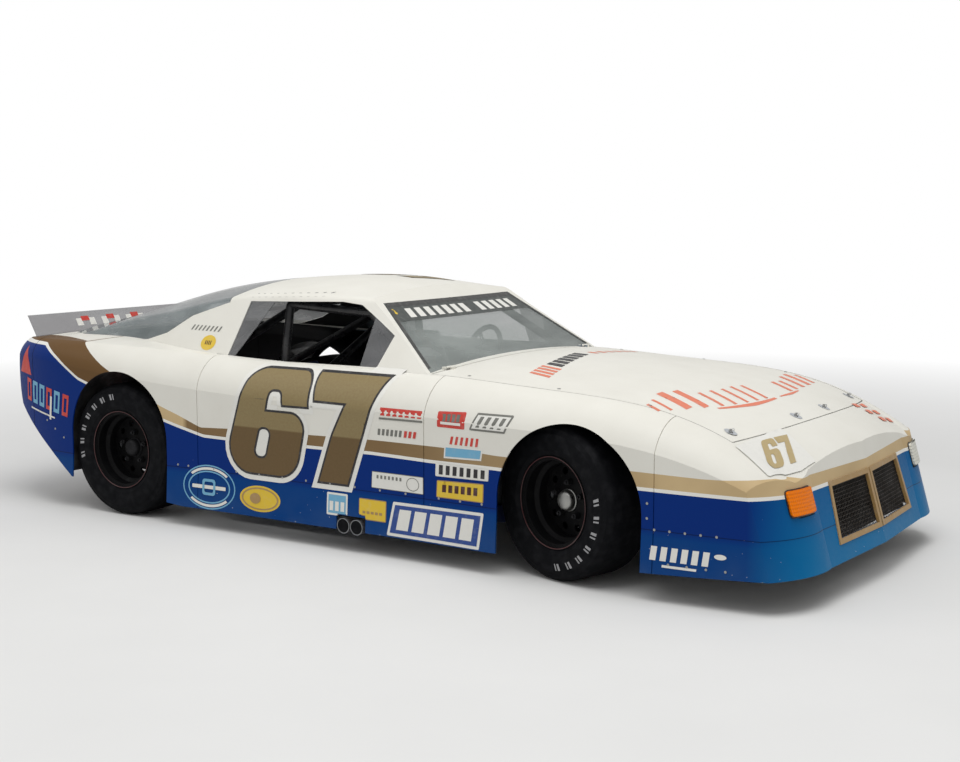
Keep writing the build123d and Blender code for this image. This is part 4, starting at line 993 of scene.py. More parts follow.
# Every mark of a flank: name and layers
MARKS = [(name, plate_layers(*plate)) for name, *plate in PLATES] + [
    ("ring_mark", (
        ("outer", "sign light blue", [[oval(*RING, 0.172, 0.112), oval(*RING, 0.165, 0.105)],
                                      [oval(*RING, 0.138, 0.082), oval(*RING, 0.13, 0.075)]]),
        ("arcs", "sign white", [[arc_band(RING, (0.159, 0.1), (0.144, 0.087), low, low + 100)]
                                for low in (40, 220)]),
        ("bar", "sign white", [[box_outline(-0.905, -0.685, 0.208, 0.226, 0.004)]]),
        ("block", "sign light blue", [[box_outline(-0.838, -0.752, 0.176, 0.258, 0.016),
                                       box_outline(-0.824, -0.766, 0.19, 0.244, 0.01)]]))),
    ("oval_mark", (
        ("face", "sign yellow", [[oval(*YELLOW_OVAL, 0.13, 0.064)]]),
        ("ring", "sign gold", [[oval(*YELLOW_OVAL, 0.118, 0.055), oval(*YELLOW_OVAL, 0.108, 0.048)]]),
        ("heart", "sign gold", [[oval(YELLOW_OVAL[0] - 0.03, YELLOW_OVAL[1], 0.034, 0.026)]]))),
    ("high_strip", (
        ("red", "sign red", [[patch(HIGH_STRIP, 0.0, 1.0, 0.8, 1.0)]]
         + bars(HIGH_STRIP, 7, 0.7, 0.36, 0.8)),
        ("foot", "sign grey", [[patch(HIGH_STRIP, 0.0, 1.0, 0.04, 0.2)]]))),
    ("low_strip", (
        ("grey", "sign grey", bars(LOW_STRIP, 6, 0.6, 0.1, 1.0, 0.0, 0.64)),
        ("red", "sign red", bars(LOW_STRIP, 3, 0.6, 0.1, 1.0, 0.66, 1.0)))),
    ("bar_mark", (
        ("ground", "sign white", [[grown(spots(BLUE_BAR), 0.008)]]),
        ("bar", "sign light blue", [[spots(BLUE_BAR)]]))),
    ("red_row", (("marks", "sign red", bars(RED_ROW, 6, 0.5)),)),
    ("post_oval", (
        ("face", "sign yellow", [[oval(*POST, 0.054, 0.037)]]),
        ("bars", "sign maroon", bars(POST_BARS, 4, 0.5)))),
    ("dam_mark", (
        ("bars", "sign white", bars(DAM, 6, 0.6, 0.32, 1.0)),
        ("foot", "sign white", [[patch(DAM, 0.25, 0.8, 0.02, 0.14)],
                                [oval(1.985, 0.222, 0.026, 0.011)]]))),
    ("quarter_marks", (
        ("pale", "sign light blue", [hollow(QUARTER, u, u + 0.12) for u in (0.17, 0.34, 0.68)]),
        ("red", "sign red", [hollow(QUARTER, u, u + 0.12) for u in (0.0, 0.51, 0.86)]),
        ("swoosh", "sign white", [[patch(QUARTER, 0.12, 0.72, 0.1, 0.15)],
                                  [patch(QUARTER, 0.6, 0.64, 0.02, 0.75)]]))),
    ("roof_marks", (("dashes", "sign grey", bars(ROOF_SCRIPT, 11, 0.34)),)),
    ("post_marks", (("dashes", "sign grey", bars(POST_SCRIPT, 8, 0.4)),)),
    ("tail_flash", (("red", "sign red", [[spots(TAIL_FLASH)]]),)),
]
# Marks over a plate, from its fourth layer up: name, part, finish and outlines
HIGH_MARKS = (
    ("badge_foot", "strip", "sign white", [[box_outline(BADGE[0] - 0.055, BADGE[0] + 0.055,
                                                        BADGE[1] - 0.006, BADGE[1] + 0.006)]]),
    ("label_ring", "ring", "sign grey", [[oval(*LABEL, 0.036, 0.031), oval(*LABEL, 0.033, 0.028)]]),
)
# The level that these marks lie at, over a plate's own layers
OVER_PLATES = 3
# Brush strokes across the hood: place across the car, length along the hood and width
HOOD_STROKES = (
    (-0.8, 0.08, 0.024), (-0.74, 0.13, 0.022), (-0.66, 0.2, 0.06), (-0.56, 0.21, 0.05),
    (-0.45, 0.16, 0.026), (-0.36, 0.17, 0.026), (-0.27, 0.17, 0.026), (-0.18, 0.18, 0.026),
    (-0.09, 0.17, 0.026), (0.22, 0.13, 0.034),
    (0.31, 0.12, 0.034), (0.42, 0.16, 0.04), (0.53, 0.17, 0.046), (0.64, 0.13, 0.034),
)
STROKE_LEAN = 0.55
ROW_X, ROW_MIDDLE, ROW_BEND_RIGHT, ROW_BEND_LEFT = 1.8, -0.05, 0.33, 0.13
# Sweeps under the strokes: from and to across the car, and width
HOOD_SWEEPS = ((-0.5, -0.02, 0.03), (0.04, 0.3, 0.018))
SWEEP_STEPS = 14
# Rows of marks by the screen, nearer to and further from the photograph's side
SCREEN_ROW_NEAR = ((0.96, -0.6), (0.78, 0.13), (0.68, 0.13), (0.83, -0.56))
SCREEN_ROW_FAR = ((0.78, 0.16), (0.8, 0.62), (0.74, 0.64), (0.7, 0.18))


def hood_row(y):
    """How far forward the lower edge of the hood's strokes runs, bent more on the right."""
    return ROW_X - (ROW_BEND_RIGHT if y < ROW_MIDDLE else ROW_BEND_LEFT) * (y - ROW_MIDDLE) ** 2


class RACECAR_OT_signs(bpy.types.Operator):
    """Lay the plain coloured plates, ovals and strokes on the body"""

    bl_idname = "race_car.signs"
    bl_label = "Plates and strokes"

    def execute(self, context):
        """Make the flanks' marks, then the hood's and the nose's."""
        for side, _, cast in SIDES:
            for name, layers in MARKS:
                sign(name + "_" + side, cast, layers)
            for name, *layer in HIGH_MARKS:
                sign(name + "_" + side, cast, [layer], level=OVER_PLATES)
        self.hood_strokes()
        self.nose_dashes()
        return {"FINISHED"}

    @staticmethod
    def hood_strokes():
        """Loose red brush strokes across the hood, and two rows of marks by the screen."""
        strokes = []
        for y, run, width in HOOD_STROKES:
            foot, lean = hood_row(y), STROKE_LEAN * run
            strokes.append([spots(((foot, y), (foot, y + width), (foot - run, y + width + lean),
                                   (foot - run, y + lean)))])
        for start, end, width in HOOD_SWEEPS:
            shares = [k / SWEEP_STEPS for k in range(SWEEP_STEPS + 1)]
            sweep = [Vector((hood_row(y) + 0.01, y)) for y in (start + (end - start) * u for u in shares)]
            widths = [Vector((width * (1 - 0.5 * abs(2 * u - 1)), 0)) for u in shares]
            strokes.append([sweep + [point + wide for point, wide in zip(sweep, widths)][::-1]])
        sign("hood_strokes", TOP, (("red", "hood red", strokes),), "hood")
        red = bars(SCREEN_ROW_NEAR, 4, 0.62, 0.0, 1.0, 0.0, 0.3) + bars(SCREEN_ROW_FAR, 6, 0.5, 0.1, 0.9)
        dark = bars(SCREEN_ROW_NEAR, 6, 0.7, 0.12, 0.92, 0.32, 0.98)
        sign("screen_marks", TOP, (("red", "hood red", red), ("dark", "sign black", dark)), "hood")

    @staticmethod
    def nose_dashes():
        """Red dashes on the nose's left corner."""
        places = [(1.98 + 0.055 * i, 0.52 + 0.1 * j + 0.03 * i) for i in range(3) for j in range(2)]
        dashes = [[spots(((x, y), (x, y + 0.06), (x + 0.03, y + 0.055), (x + 0.03, y - 0.005)))]
                  for x, y in places]
        sign("nose_dashes", TOP, (("red", "hood red", dashes),))


# The lamps' lenses and frames in front view: nearest and furthest from the middle, low, high and corner
# radius, then how far over the skin they start and end
LAMP_LENS = (0.642, 0.812, 0.384, 0.486, 0.014, 0.0, 0.013)
# The dark frame is a rubber bezel and painted shade round the lamp
LAMP_FRAME_AND_SHADE = (0.638, 0.816, 0.378, 0.491, 0.018, -0.001, 0.004)


def raised(heap, cast, side, near, far, z_low, z_high, radius, low, high):
    """A raised piece with rounded corners, from one height over the skin to another."""
    outline = box_outline(*sorted((side * near, side * far)), z_low, z_high, radius)
    flat, faces = filled([outline], settings("trim").pitch)
    heap.add([cast.throw(point, high) for point in flat], faces)
    rim = [cast.throw(point, lift) for lift in (low, high) for point in outline]
    heap.add(rim, loop_faces(len(outline)))


class RACECAR_OT_lamps(bpy.types.Operator):
    """Cover both nose lamps with broad ribbed lenses in dark frames: rubber bezels and painted shade
    round the lamps
    """

    bl_idname = "race_car.lamps"
    bl_label = "Nose lamps"

    def execute(self, context):
        """Wrap each lens round its corner of the nose."""
        lenses, frames = Heap(), Heap()
        for side in (1, -1):
            raised(lenses, LAMP_FACE, side, *LAMP_LENS)
            raised(frames, LAMP_FACE, side, *LAMP_FRAME_AND_SHADE)
        glass = lenses.piece("lamp_lenses", "front lens", "front_lens")
        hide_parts("front_lamps")
        frames.piece("lamp_frames", "dark plastic", "front_lens")
        return {"FINISHED"}


# The nose's leaning front face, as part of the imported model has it
NOSE_TIP_X, NOSE_FOOT_Z, NOSE_LEAN = 2.342, 0.15, math.radians(16)
NOSE_SWEEP = 0.03 / 0.59
# Half of the grille's opening, in front view: corners as y and z
GRILLE = ((0.026, 0.236), (0.446, 0.236), (0.418, 0.452), (0.026, 0.452))
# The grille's surround: its width, its lap over the opening, how proud it stands, and the depths of its
# foot at the four corners of each strip
SURROUND_WIDTH, SURROUND_LAP, SURROUND_PROUD = 0.0215, 0.0015, 0.005
SURROUND_DEPTHS = (-0.0095, -0.0095, -0.002, -0.002)
# The mesh: its own half in front view, and how far behind the face it lies
MESH_NEAR, MESH_WIDTH, MESH_LOW, MESH_HIGH, MESH_DEPTH = 0.012, 0.455, 0.222, 0.466, 0.0103
# The air duct on the left, from the grille back to the radiator: lower and upper corners
DUCT_FRONT = ((2.268, 0.462, 0.222), (2.212, 0.44, 0.462))
DUCT_BACK = ((1.936, 0.345, 0.256), (1.936, 0.345, 0.506))
# Thickness of the car's thin sheets
SHEET = 0.0015


def on_nose(y, z, proud=0.0):
    """A point of the nose's front face, standing proud of it."""
    slope = math.tan(NOSE_LEAN)
    normal = Vector((1.0, math.copysign(NOSE_SWEEP, y), slope)).normalized()
    return Vector((NOSE_TIP_X - NOSE_SWEEP * abs(y) - (z - NOSE_FOOT_Z) * slope, y, z)) + normal * proud


class RACECAR_OT_grille(bpy.types.Operator):
    """Frame the two grille openings and stretch wire mesh behind them"""

    bl_idname = "race_car.grille"
    bl_label = "Grille"

    def execute(self, context):
        """Make the gold frames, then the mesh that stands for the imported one."""
        frames, wires = Heap(), Heap()
        for side in (1, -1):
            self.surround(frames, side)
            self.mesh(wires, side)
        frames.piece("grille_surround", "sign gold", "body_paint", smooth=False)
        self.duct()
        screen = wires.piece("grille_wires", "mesh enamel", "mesh", smooth=False)
        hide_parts("grille_mesh")
        return {"FINISHED"}

    @staticmethod
    def duct():
        """Thin dark sheets that lead the air from the grille back to the radiator."""
        heap = Heap()
        walls = (DUCT_FRONT[0], DUCT_BACK[0], DUCT_BACK[1], DUCT_FRONT[1])
        for side in (1, -1):
            heap.slab([at(corner, side) for corner in walls], SHEET)
        for a, b in zip(DUCT_FRONT, DUCT_BACK):
            heap.slab([a, b, at(b, -1), at(a, -1)], SHEET)
        heap.piece("air_duct", "dark plastic", "cores", smooth=False)

    @staticmethod
    def surround(heap, side):
        """A raised strip round one opening."""
        inner = grown(spots(GRILLE), -SURROUND_LAP)
        outer = grown(inner, SURROUND_WIDTH)
        for point in outer:
            point.x = max(point.x, 0.002)
        for i in range(4):
            j = (i + 1) % 4
            path = [inner[i], inner[j], outer[j], outer[i]]
            foot = [on_nose(side * p.x, p.y, depth) for p, depth in zip(path, SURROUND_DEPTHS)]
            head = [on_nose(side * p.x, p.y, SURROUND_PROUD) for p in path]
            heap.add(foot + head, [[0, 1, 2, 3], [4, 5, 6, 7]] + loop_faces(4))

    @staticmethod
    def mesh(heap, side):
        """Crossed wires behind one opening, over and under each other."""
        trim = settings("trim")
        columns, rows = (int(size / trim.wire_pitch) for size in (MESH_WIDTH, MESH_HIGH - MESH_LOW))

        def crossing(i, k, sense):
            """One wire's place where a column and a row cross."""
            over = trim.wire * 0.5 * (sense if (i + k) % 2 else -sense)
            return on_nose(side * (MESH_NEAR + i * trim.wire_pitch), MESH_LOW + k * trim.wire_pitch,
                           over - MESH_DEPTH)

        for i in range(columns + 1):
            heap.tube([crossing(i, k, 1) for k in range(rows + 1)], trim.wire / 2, 4)
        for k in range(rows + 1):
            heap.tube([crossing(i, k, -1) for i in range(columns + 1)], trim.wire / 2, 4)


# Wheels: body, side of the car, whether it steers
WHEELS = (
    ("wheel_front_right", -1, True), ("wheel_front_left", 1, True),
    ("wheel_rear_right", -1, False), ("wheel_rear_left", 1, False),
)
# The outer sidewall's place: outboard of the kingpin in front, and across the car behind
OUTER_FROM_KINGPIN, OUTER_Y = 0.24, 0.952
# Segments that the tyres and the rims are turned in
WHEEL_SEGMENTS = 128


def wheel_place(name, side, steers):
    """A wheel's own frame: its axis along Y outboard, and its origin at the outer sidewall's plane."""
    joint = JOINTS["spin_" + name.removeprefix("wheel_")]
    axis = Vector(joint["axis"]).normalized() * side
    origin = Vector(joint["pos_m"])
    if steers:
        origin = origin + axis * OUTER_FROM_KINGPIN
    else:
        origin.y = side * OUTER_Y
    up = Vector((0, 0, 1))
    return framed(origin, axis.cross(up), axis, up)


# Half of the tyre's section, from the tread's middle to the bead: out from the middle, radius
TYRE_HALF = (
    (0.0, 0.346), (0.06, 0.346), (0.1, 0.3452), (0.114, 0.343), (0.124, 0.3375), (0.131, 0.329),
    (0.1345, 0.327), (0.1365, 0.319), (0.14, 0.305), (0.1425, 0.303), (0.143, 0.3), (0.144, 0.285),
    (0.145, 0.265), (0.144, 0.245), (0.1415, 0.23), (0.142, 0.227), (0.1395, 0.224), (0.1345, 0.213),
    (0.127, 0.204), (0.118, 0.199), (0.117, 0.1912),
)
TYRE_MIDDLE = -0.145
TYRE_INNER = ((0.097, 0.1912), (0.1, 0.21), (0.118, 0.24), (0.12, 0.28), (0.108, 0.325), (0.06, 0.333))


def sidewall_at(radius):
    """How far out the sidewall stands at a radius, from the tyre's middle."""
    for (a, r_a), (b, r_b) in zip(TYRE_HALF, TYRE_HALF[1:]):
        if r_b <= radius <= r_a:
            return b + (a - b) * (radius - r_b) / max(1e-6, r_a - r_b)
    return TYRE_HALF[12][0]


# Where the marks lie on each sidewall: from and to in degrees, with 0 forward and 90 up
MARK_ARCS = {"front": (9.0, -90.0), "rear": (100.0, 200.0)}
# The marks' spacing and slant, and each pair of strokes as offset and width, all in degrees
MARK_STEP, MARK_SLANT = 15.0, 1.2
MARK_PAIR = ((-2.3, 1.5), (1.5, 2.6))
MARK_LEVELS = 5


class RACECAR_OT_tyres(bpy.types.Operator):
    """Mould the four racing tyres with their sidewall marks"""

    bl_idname = "race_car.tyres"
    bl_label = "Tyres"

    def execute(self, context):
        """Turn each tyre and lay its marks."""
        profile = [(TYRE_MIDDLE + w, r) for w, r in reversed(TYRE_HALF)]
        profile += [(TYRE_MIDDLE - w, r) for w, r in TYRE_HALF[1:] + TYRE_INNER]
        profile += [(TYRE_MIDDLE + w, r) for w, r in reversed(TYRE_INNER)]
        for name, side, steers in WHEELS:
            place = wheel_place(name, side, steers)
            heap = Heap()
            heap.lathe(profile, place, WHEEL_SEGMENTS)
            label = name.removeprefix("wheel_")
            tyre = heap.piece("slick_" + label, "racing rubber", "tyre", name)
            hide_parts("tyre_" + label)
            self.marks(label, name, place, side)
        return {"FINISHED"}

    def marks(self, label, body, place, side):
        """Slanted double strokes round part of the sidewall."""
        start, end = MARK_ARCS[label.split("_")[0]]
        step = math.copysign(MARK_STEP, end - start)
        heap = Heap()
        for i in range(int(abs(end - start) / MARK_STEP) + 1):
            for offset, width in MARK_PAIR:
                self.stroke(heap, place, side, start + i * step + offset, width)
        heap.piece("marks_" + label, "sidewall white", "tyre", body)

    @staticmethod
    def stroke(heap, place, side, middle, width):
        """One slanted stroke that follows the sidewall."""
        wheel = settings("wheel")
        points = []
        for share in (i / (MARK_LEVELS - 1) for i in range(MARK_LEVELS)):
            radius = wheel.marks_radius + wheel.marks_height * (share - 0.5)
            out = TYRE_MIDDLE + sidewall_at(radius) + settings("trim").lift
            for edge in (-0.5, 0.5):
                angle = math.radians(middle + MARK_SLANT * (share - 0.5) + edge * width)
                ahead_of, up = side * radius * math.cos(angle), radius * math.sin(angle)
                points.append(place @ Vector((ahead_of, out, up)))
        heap.add(points, [[2 * i, 2 * i + 1, 2 * i + 3, 2 * i + 2] for i in range(MARK_LEVELS - 1)])


# The rim's barrel seen from outside, from the outer lip to the inner: out from the wheel's middle, radius
RIM_OUTSIDE = (
    (0.133, 0.205), (0.1345, 0.202), (0.133, 0.1985), (0.12, 0.196), (0.117, 0.184), (0.07, 0.1815),
    (0.056, 0.164), (0.015, 0.162), (-0.03, 0.164), (-0.046, 0.18), (-0.115, 0.1825), (-0.12, 0.195),
    (-0.133, 0.1985), (-0.1345, 0.202), (-0.133, 0.205), (-0.125, 0.2045), (-0.1215, 0.1905),
    (-0.052, 0.1885),
    (-0.035, 0.17), (0.02, 0.169), (0.06, 0.1705), (0.076, 0.1885), (0.1215, 0.1905), (0.125, 0.2045),
)
# The painted line: out from the tyre's middle, and radius
LINE_OUT, LINE_RADIUS = 0.1338, 0.1985
# The dished centre: its place, radius, dish and thickness, then its holes
DISC_DEPTH, DISC_RADIUS, DISC_DISH, DISC_SHEET = -0.12, 0.1645, 0.01, 0.007
HOLE_COUNT, HOLE_CIRCLE, HOLE_RADIUS, HUB_HOLE = 10, 0.128, 0.017, 0.03
# Sections turned on the wheel's axis, as out from the centre's face, and radius
CAP = ((-0.01, 0.05), (0.002, 0.05), (0.004, 0.047), (0.02, 0.045), (0.03, 0.04), (0.036, 0.03),
       (0.038, 0.012), (0.0385, 0.0))
ROTOR = ((-0.002, 0.021), (-0.002, 0.061), (-0.048, 0.061), (-0.048, 0.126), (-0.054, 0.126),
         (-0.054, 0.118), (-0.062, 0.118), (-0.062, 0.126), (-0.068, 0.126), (-0.068, 0.021))
NUT = ((0.002, 0.016), (0.012, 0.0145), (0.024, 0.013), (0.026, 0.01), (0.026, 0.006))
STUD = ((0.02, 0.007), (0.034, 0.007), (0.035, 0.005), (0.035, 0.0))
NUT_COUNT, NUT_CIRCLE = 5, 0.0795


class RACECAR_OT_wheels(bpy.types.Operator):
    """Form the four steel wheels with their centres, nuts, caps and brake rotors"""

    bl_idname = "race_car.wheels"
    bl_label = "Wheels"

    def execute(self, context):
        """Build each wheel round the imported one's place."""
        for name, side, steers in WHEELS:
            place = wheel_place(name, side, steers)
            label = name.removeprefix("wheel_")
            barrel = Heap()
            barrel.lathe([(TYRE_MIDDLE + w, r) for w, r in RIM_OUTSIDE], place, WHEEL_SEGMENTS)
            self.disc(barrel, place)
            rim = barrel.piece("steel_rim_" + label, "wheel enamel", "wheel_paint", name)
            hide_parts("rim_" + label)
            self.line(label, name, place)
            self.hub(label, name, place)
        return {"FINISHED"}

    @staticmethod
    def disc(heap, place):
        """The dished centre with its ring of holes."""
        def dished(outline, back):
            """Flat points laid on the dished face, or behind it."""
            laid = []
            for point in outline:
                crown = DISC_DISH * math.cos(math.pi * min(1.0, point.length / DISC_RADIUS))
                laid.append(place @ Vector((point.x, DISC_DEPTH - back + crown, point.y)))
            return laid

        holes = [oval(*on_circle(HOLE_CIRCLE, turn), HOLE_RADIUS, HOLE_RADIUS, 16)
                 for turn in turns(HOLE_COUNT, 0.5)]
        centre = oval(0.0, 0.0, HUB_HOLE, HUB_HOLE, 32)
        flat, faces = filled([oval(0.0, 0.0, DISC_RADIUS, DISC_RADIUS, 64), centre] + holes, 0.03)
        for back in (0.0, DISC_SHEET):
            heap.add(dished(flat, back), faces)
        for hole in holes:
            heap.add(dished(hole, 0.0) + dished(hole, DISC_SHEET), loop_faces(len(hole)))

    @staticmethod
    def line(label, body, place):
        """The thin painted line just inside the lip."""
        width = settings("wheel").lip_line
        rows = ((-0.0002, 0.0), (0.0006, 0.0005), (0.0012, 0.0005 + width / 2), (0.0008, 0.0005 + width))
        section = [(TYRE_MIDDLE + LINE_OUT + out, LINE_RADIUS + over) for out, over in rows]
        heap = Heap()
        heap.lathe(section, place, WHEEL_SEGMENTS, closed=False)
        heap.piece("rim_line_" + label, "wheel line", "wheel_paint", body)

    @staticmethod
    def hub(label, body, place):
        """Hub, dust cap, nuts and rotor; the rear caps take the dark steel as painted shade."""
        face = place @ Matrix.Translation((0, DISC_DEPTH, 0))
        cap, steel = Heap(), Heap()
        cap.lathe([(DISC_DISH + w, r) for w, r in CAP], face, 48, closed=False)
        # Painted shade: the rear caps, alike to the front ones, take the dark steel
        plated = "plated steel" if "front" in label else "sooty steel"
        cap.piece("hub_cap_" + label, plated, "wheel_paint", body)
        steel.lathe(ROTOR, face, 64)
        for turn in turns(NUT_COUNT):
            across, up = on_circle(NUT_CIRCLE, turn)
            spot = face @ Matrix.Translation((across, 0, up))
            steel.lathe(NUT, spot, 6, closed=False)
            steel.lathe(STUD, spot, 12, closed=False)
        steel.piece("hub_" + label, "sooty steel", "wheel_paint", body)


# Rows of rivets in side view: from, to and how many
RIVET_ROWS = (
    ((1.66, 0.302), (2.0, 0.302), 5), ((1.66, 0.315), (1.66, 0.44), 2), ((1.72, 0.165), (2.05, 0.165), 4),
    ((-0.84, 0.312), (0.49, 0.312), 9), ((0.545, 0.312), (0.9, 0.312), 3),
    ((-2.1, 0.52), (-1.8, 0.36), 4), ((-1.04, 0.312), (-0.9, 0.312), 2),
)
# A rivet's head: height, and share of its radius
HEAD = ((0.0, 1.0), (0.0018, 0.92), (0.003, 0.5), (0.0033, 0.0))
# In plan, x and y: quarter-turn studs on the hood's edges, and the hood pins
HOOD_STUDS = ((0.62, 0.735), (1.1, 0.745), (1.55, 0.748))
HOOD_PINS = ((1.9, 0.7), (1.975, 0.17))
PIN_PLATE, PIN_HOLE = (0.028, 0.024), (0.0102, 0.0102)
# A pin's clip, bent from wire: across the car and up from the middle of the pin's hole
CLIP = ((-0.03, 0.0), (0.03, 0.0), (0.037, 0.004), (0.03, 0.009), (-0.006, 0.009))
CLIP_HEIGHT, CLIP_WIRE = 0.01, 0.0016


class RACECAR_OT_fasteners(bpy.types.Operator):
    """Set the rivets, the quarter-turn studs and the hood pins' clips"""

    bl_idname = "race_car.fasteners"
    bl_label = "Fasteners"

    def execute(self, context):
        """Place each row by its flat line."""
        rivet = settings("trim").rivet
        heads, studs = Heap(), Heap()
        for _, side, cast in SIDES:
            for start, end, count in RIVET_ROWS:
                for k in range(count):
                    spot = Vector(start).lerp(Vector(end), (k + 0.5) / count)
                    self.head(heads, cast, spot, rivet)
            for x, y in HOOD_STUDS:
                self.head(studs, TOP, Vector((x, side * y)), rivet * 1.5)
        heads.piece("rivets", "plated steel", "sheet_metal")
        studs.piece("hood_studs", "plated steel", "sheet_metal", "hood")
        self.pins()
        return {"FINISHED"}

    @staticmethod
    def head(heap, cast, spot, radius):
        """One domed head on the skin, where there is skin."""
        foot = cast.throw(spot, -0.0005)
        if foot is not None:
            turn = cast.direction.to_track_quat("-Y", "Z").to_matrix().to_4x4()
            place = Matrix.Translation(foot) @ turn
            heap.lathe([(height, radius * share) for height, share in HEAD], place, 12, closed=False)

    @staticmethod
    def pins():
        """Scuff plates on the hood, and clips through the pins that stand up through it."""
        plates, clips = Heap(), Heap()
        for x, y in ((x, side * y) for x, y in HOOD_PINS for side in (1, -1)):
            draped(plates, TOP, [oval(x, y, *PIN_PLATE, 24), oval(x, y, *PIN_HOLE, 16)], 2)
            top = TOP.throw(Vector((x + 0.022, y)), CLIP_HEIGHT)
            clips.tube([(x, y + across, top.z + up) for across, up in CLIP], CLIP_WIRE, 6)
        plates.piece("pin_plates", "pale alloy", "sheet_metal", "hood")
        clips.piece("pin_clips", "pale alloy", "sheet_metal")


# Banner, spot and edge of the screen, and the blade's marks, in front view
BANNER_LOW, BANNER_HIGH = 1.062, 1.128
BANNER = ((-0.6, BANNER_LOW), (0.6, BANNER_LOW), (0.565, BANNER_HIGH), (-0.565, BANNER_HIGH))
SCREEN_SPOT = (-0.555, BANNER_HIGH - 0.022, 0.014, 0.012, 20)
SCREEN_EDGE = ((0.752, 0.856), (0.556, 1.136), (-0.556, 1.136), (-0.752, 0.856))
SCREEN_EDGE_HALF = 0.009
BLADE_MARKS = ((-0.48, 0.925), (0.1, 0.925), (0.1, 0.975), (-0.48, 0.975))


class RACECAR_OT_glazing(bpy.types.Operator):
    """Edge the windscreen, lay its banner and mark the blade"""

    bl_idname = "race_car.glazing"
    bl_label = "Glazing trim"

    def execute(self, context):
        """Make the banner, the screen's edge trim and the blade's marks."""
        dashes = bars(BANNER, 7, 0.62, 0.2, 0.8, 0.08, 0.54) + bars(BANNER, 5, 0.62, 0.2, 0.8, 0.6, 0.93)
        sign("screen_banner", SCREEN, (
            ("strip", "banner grey", [[spots(BANNER)]]), ("dashes", "sign white", dashes)))
        sign("screen_spot", SCREEN, (("yellow", "sign yellow", [[oval(*SCREEN_SPOT)]]),))
        heap = Heap()
        for a, b in zip(spots(SCREEN_EDGE), spots(SCREEN_EDGE[1:])):
            side = Vector((b.y - a.y, a.x - b.x)).normalized() * SCREEN_EDGE_HALF
            draped(heap, SCREEN, [[a + side, b + side, b - side, a - side]], 2)
        heap.piece("screen_edge", "edge trim", "clear_pane")
        sign("blade_marks", BLADE, (
            ("pale", "sign white", bars(BLADE_MARKS, 6, 0.45, 0.0, 0.8)),
            ("red", "sign red", bars(BLADE_MARKS, 3, 0.3, 0.5, 1.0))))
        return {"FINISHED"}


def as_shown(pad):
    """The pad's mesh with its modifiers laid on."""
    graph = bpy.context.evaluated_depsgraph_get()
    return bpy.data.meshes.new_from_object(pad.evaluated_get(graph))


def stuffed(pad, foot, normal, voxel=0.006, pressure=4.0, limit=0.007, seat=0.004):
    """Swell a pad as cloth under pressure, flat where it rests and never far from its first form."""
    even = pad.modifiers.new("even", "REMESH")
    even.mode, even.voxel_size, even.use_smooth_shade = "VOXEL", voxel, True
    pad.data = as_shown(pad)
    pad.modifiers.clear()
    cloth = pad.modifiers.new("cloth", "CLOTH")
    cloth.settings.use_pressure = True
    cloth.settings.uniform_pressure_force = pressure
    cloth.settings.effector_weights.gravity = 0.0
    for frame_number in range(1, 21):
        bpy.context.scene.frame_set(frame_number)
    swollen = as_shown(pad)
    pad.modifiers.clear()
    for first, last in zip(pad.data.vertices, swollen.vertices):
        move = last.co - first.co
        if (first.co - foot).dot(normal) > seat:
            first.co += move * min(1.0, limit / max(move.length, 1e-9))
    bpy.context.scene.frame_set(1)


SEAT_Y, PAD_HALF = 0.33, 0.158
# Pads: name, lower and upper end of the underside, and thickness
PADS = (
    ("seat_cushion", (-0.255, 0, 0.366), (0.045, 0, 0.412), 0.036),
    ("back_cushion", (-0.352, 0, 0.42), (-0.462, 0, 0.86), 0.034),
)
PAD_ROWS, PAD_COLUMNS = 15, 11
# Shares of a pad's thickness: its rim, its crown and its channels, then how many channels cross it
PAD_RIM, PAD_CROWN, PAD_CHANNEL, PAD_CHANNELS = 0.3, 0.7, 0.18, 4
# Straps on one side of the seat, as x, out from the seat's middle, and z; then half their width
SHOULDER = ((-0.56, 0.075, 0.915), (-0.48, 0.075, 0.922), (-0.428, 0.07, 0.87), (-0.38, 0.06, 0.74),
            (-0.33, 0.045, 0.6), (-0.27, 0.02, 0.47))
LAP = ((-0.33, 0.155, 0.5), (-0.26, 0.12, 0.48), (-0.215, 0.06, 0.462), (-0.205, 0.0, 0.458))
STRAPS = ((SHOULDER, 0.038, (0, 1, 0)), (LAP, 0.035, (1, 0, 0.5)))
STRAP_SHEET = 0.0015
# Gauges: place across the car, height and radius
GAUGES = (
    (SEAT_Y, 0.757, 0.048), (SEAT_Y - 0.15, 0.752, 0.028), (SEAT_Y - 0.085, 0.752, 0.028),
    (SEAT_Y + 0.085, 0.752, 0.028), (SEAT_Y + 0.15, 0.752, 0.028),
    (-0.1, 0.745, 0.026), (-0.17, 0.745, 0.026),
)
# A gauge's bezel: out from the dash, and how far inside its radius
BEZEL = ((0.0, 0.0), (0.014, 0.0), (0.016, 0.003), (0.012, 0.005), (0.0, 0.005))
# The steering wheel: radius, half sizes of its grip, then its spokes
RING_RADIUS, GRIP_DEEP, GRIP_WIDE = 0.175, 0.0145, 0.0135
SPOKE = ((-0.017, 0.024), (0.017, 0.024), (0.012, 0.168), (-0.012, 0.168))
SPOKE_HOLES, SPOKE_REACH, SPOKE_DISH = (0.062, 0.09, 0.118, 0.144), 0.168, 0.02
SPOKE_ANGLES, SPOKE_FACES, SPOKE_HOLE = (90.0, 210.0, 330.0), (-0.01, -0.0135), 0.007
WHEEL_BOSS = ((-0.04, 0.0), (-0.04, 0.028), (-0.012, 0.03), (-0.004, 0.022), (-0.002, 0.0))
LEVER_FOOT = Vector((0.02, 0.0, 0.438))
LEVER_BEND, LEVER_TOP = Vector((-0.02, 0.008, 0.14)), Vector((-0.05, 0.02, 0.26))
KNOB = 0.024


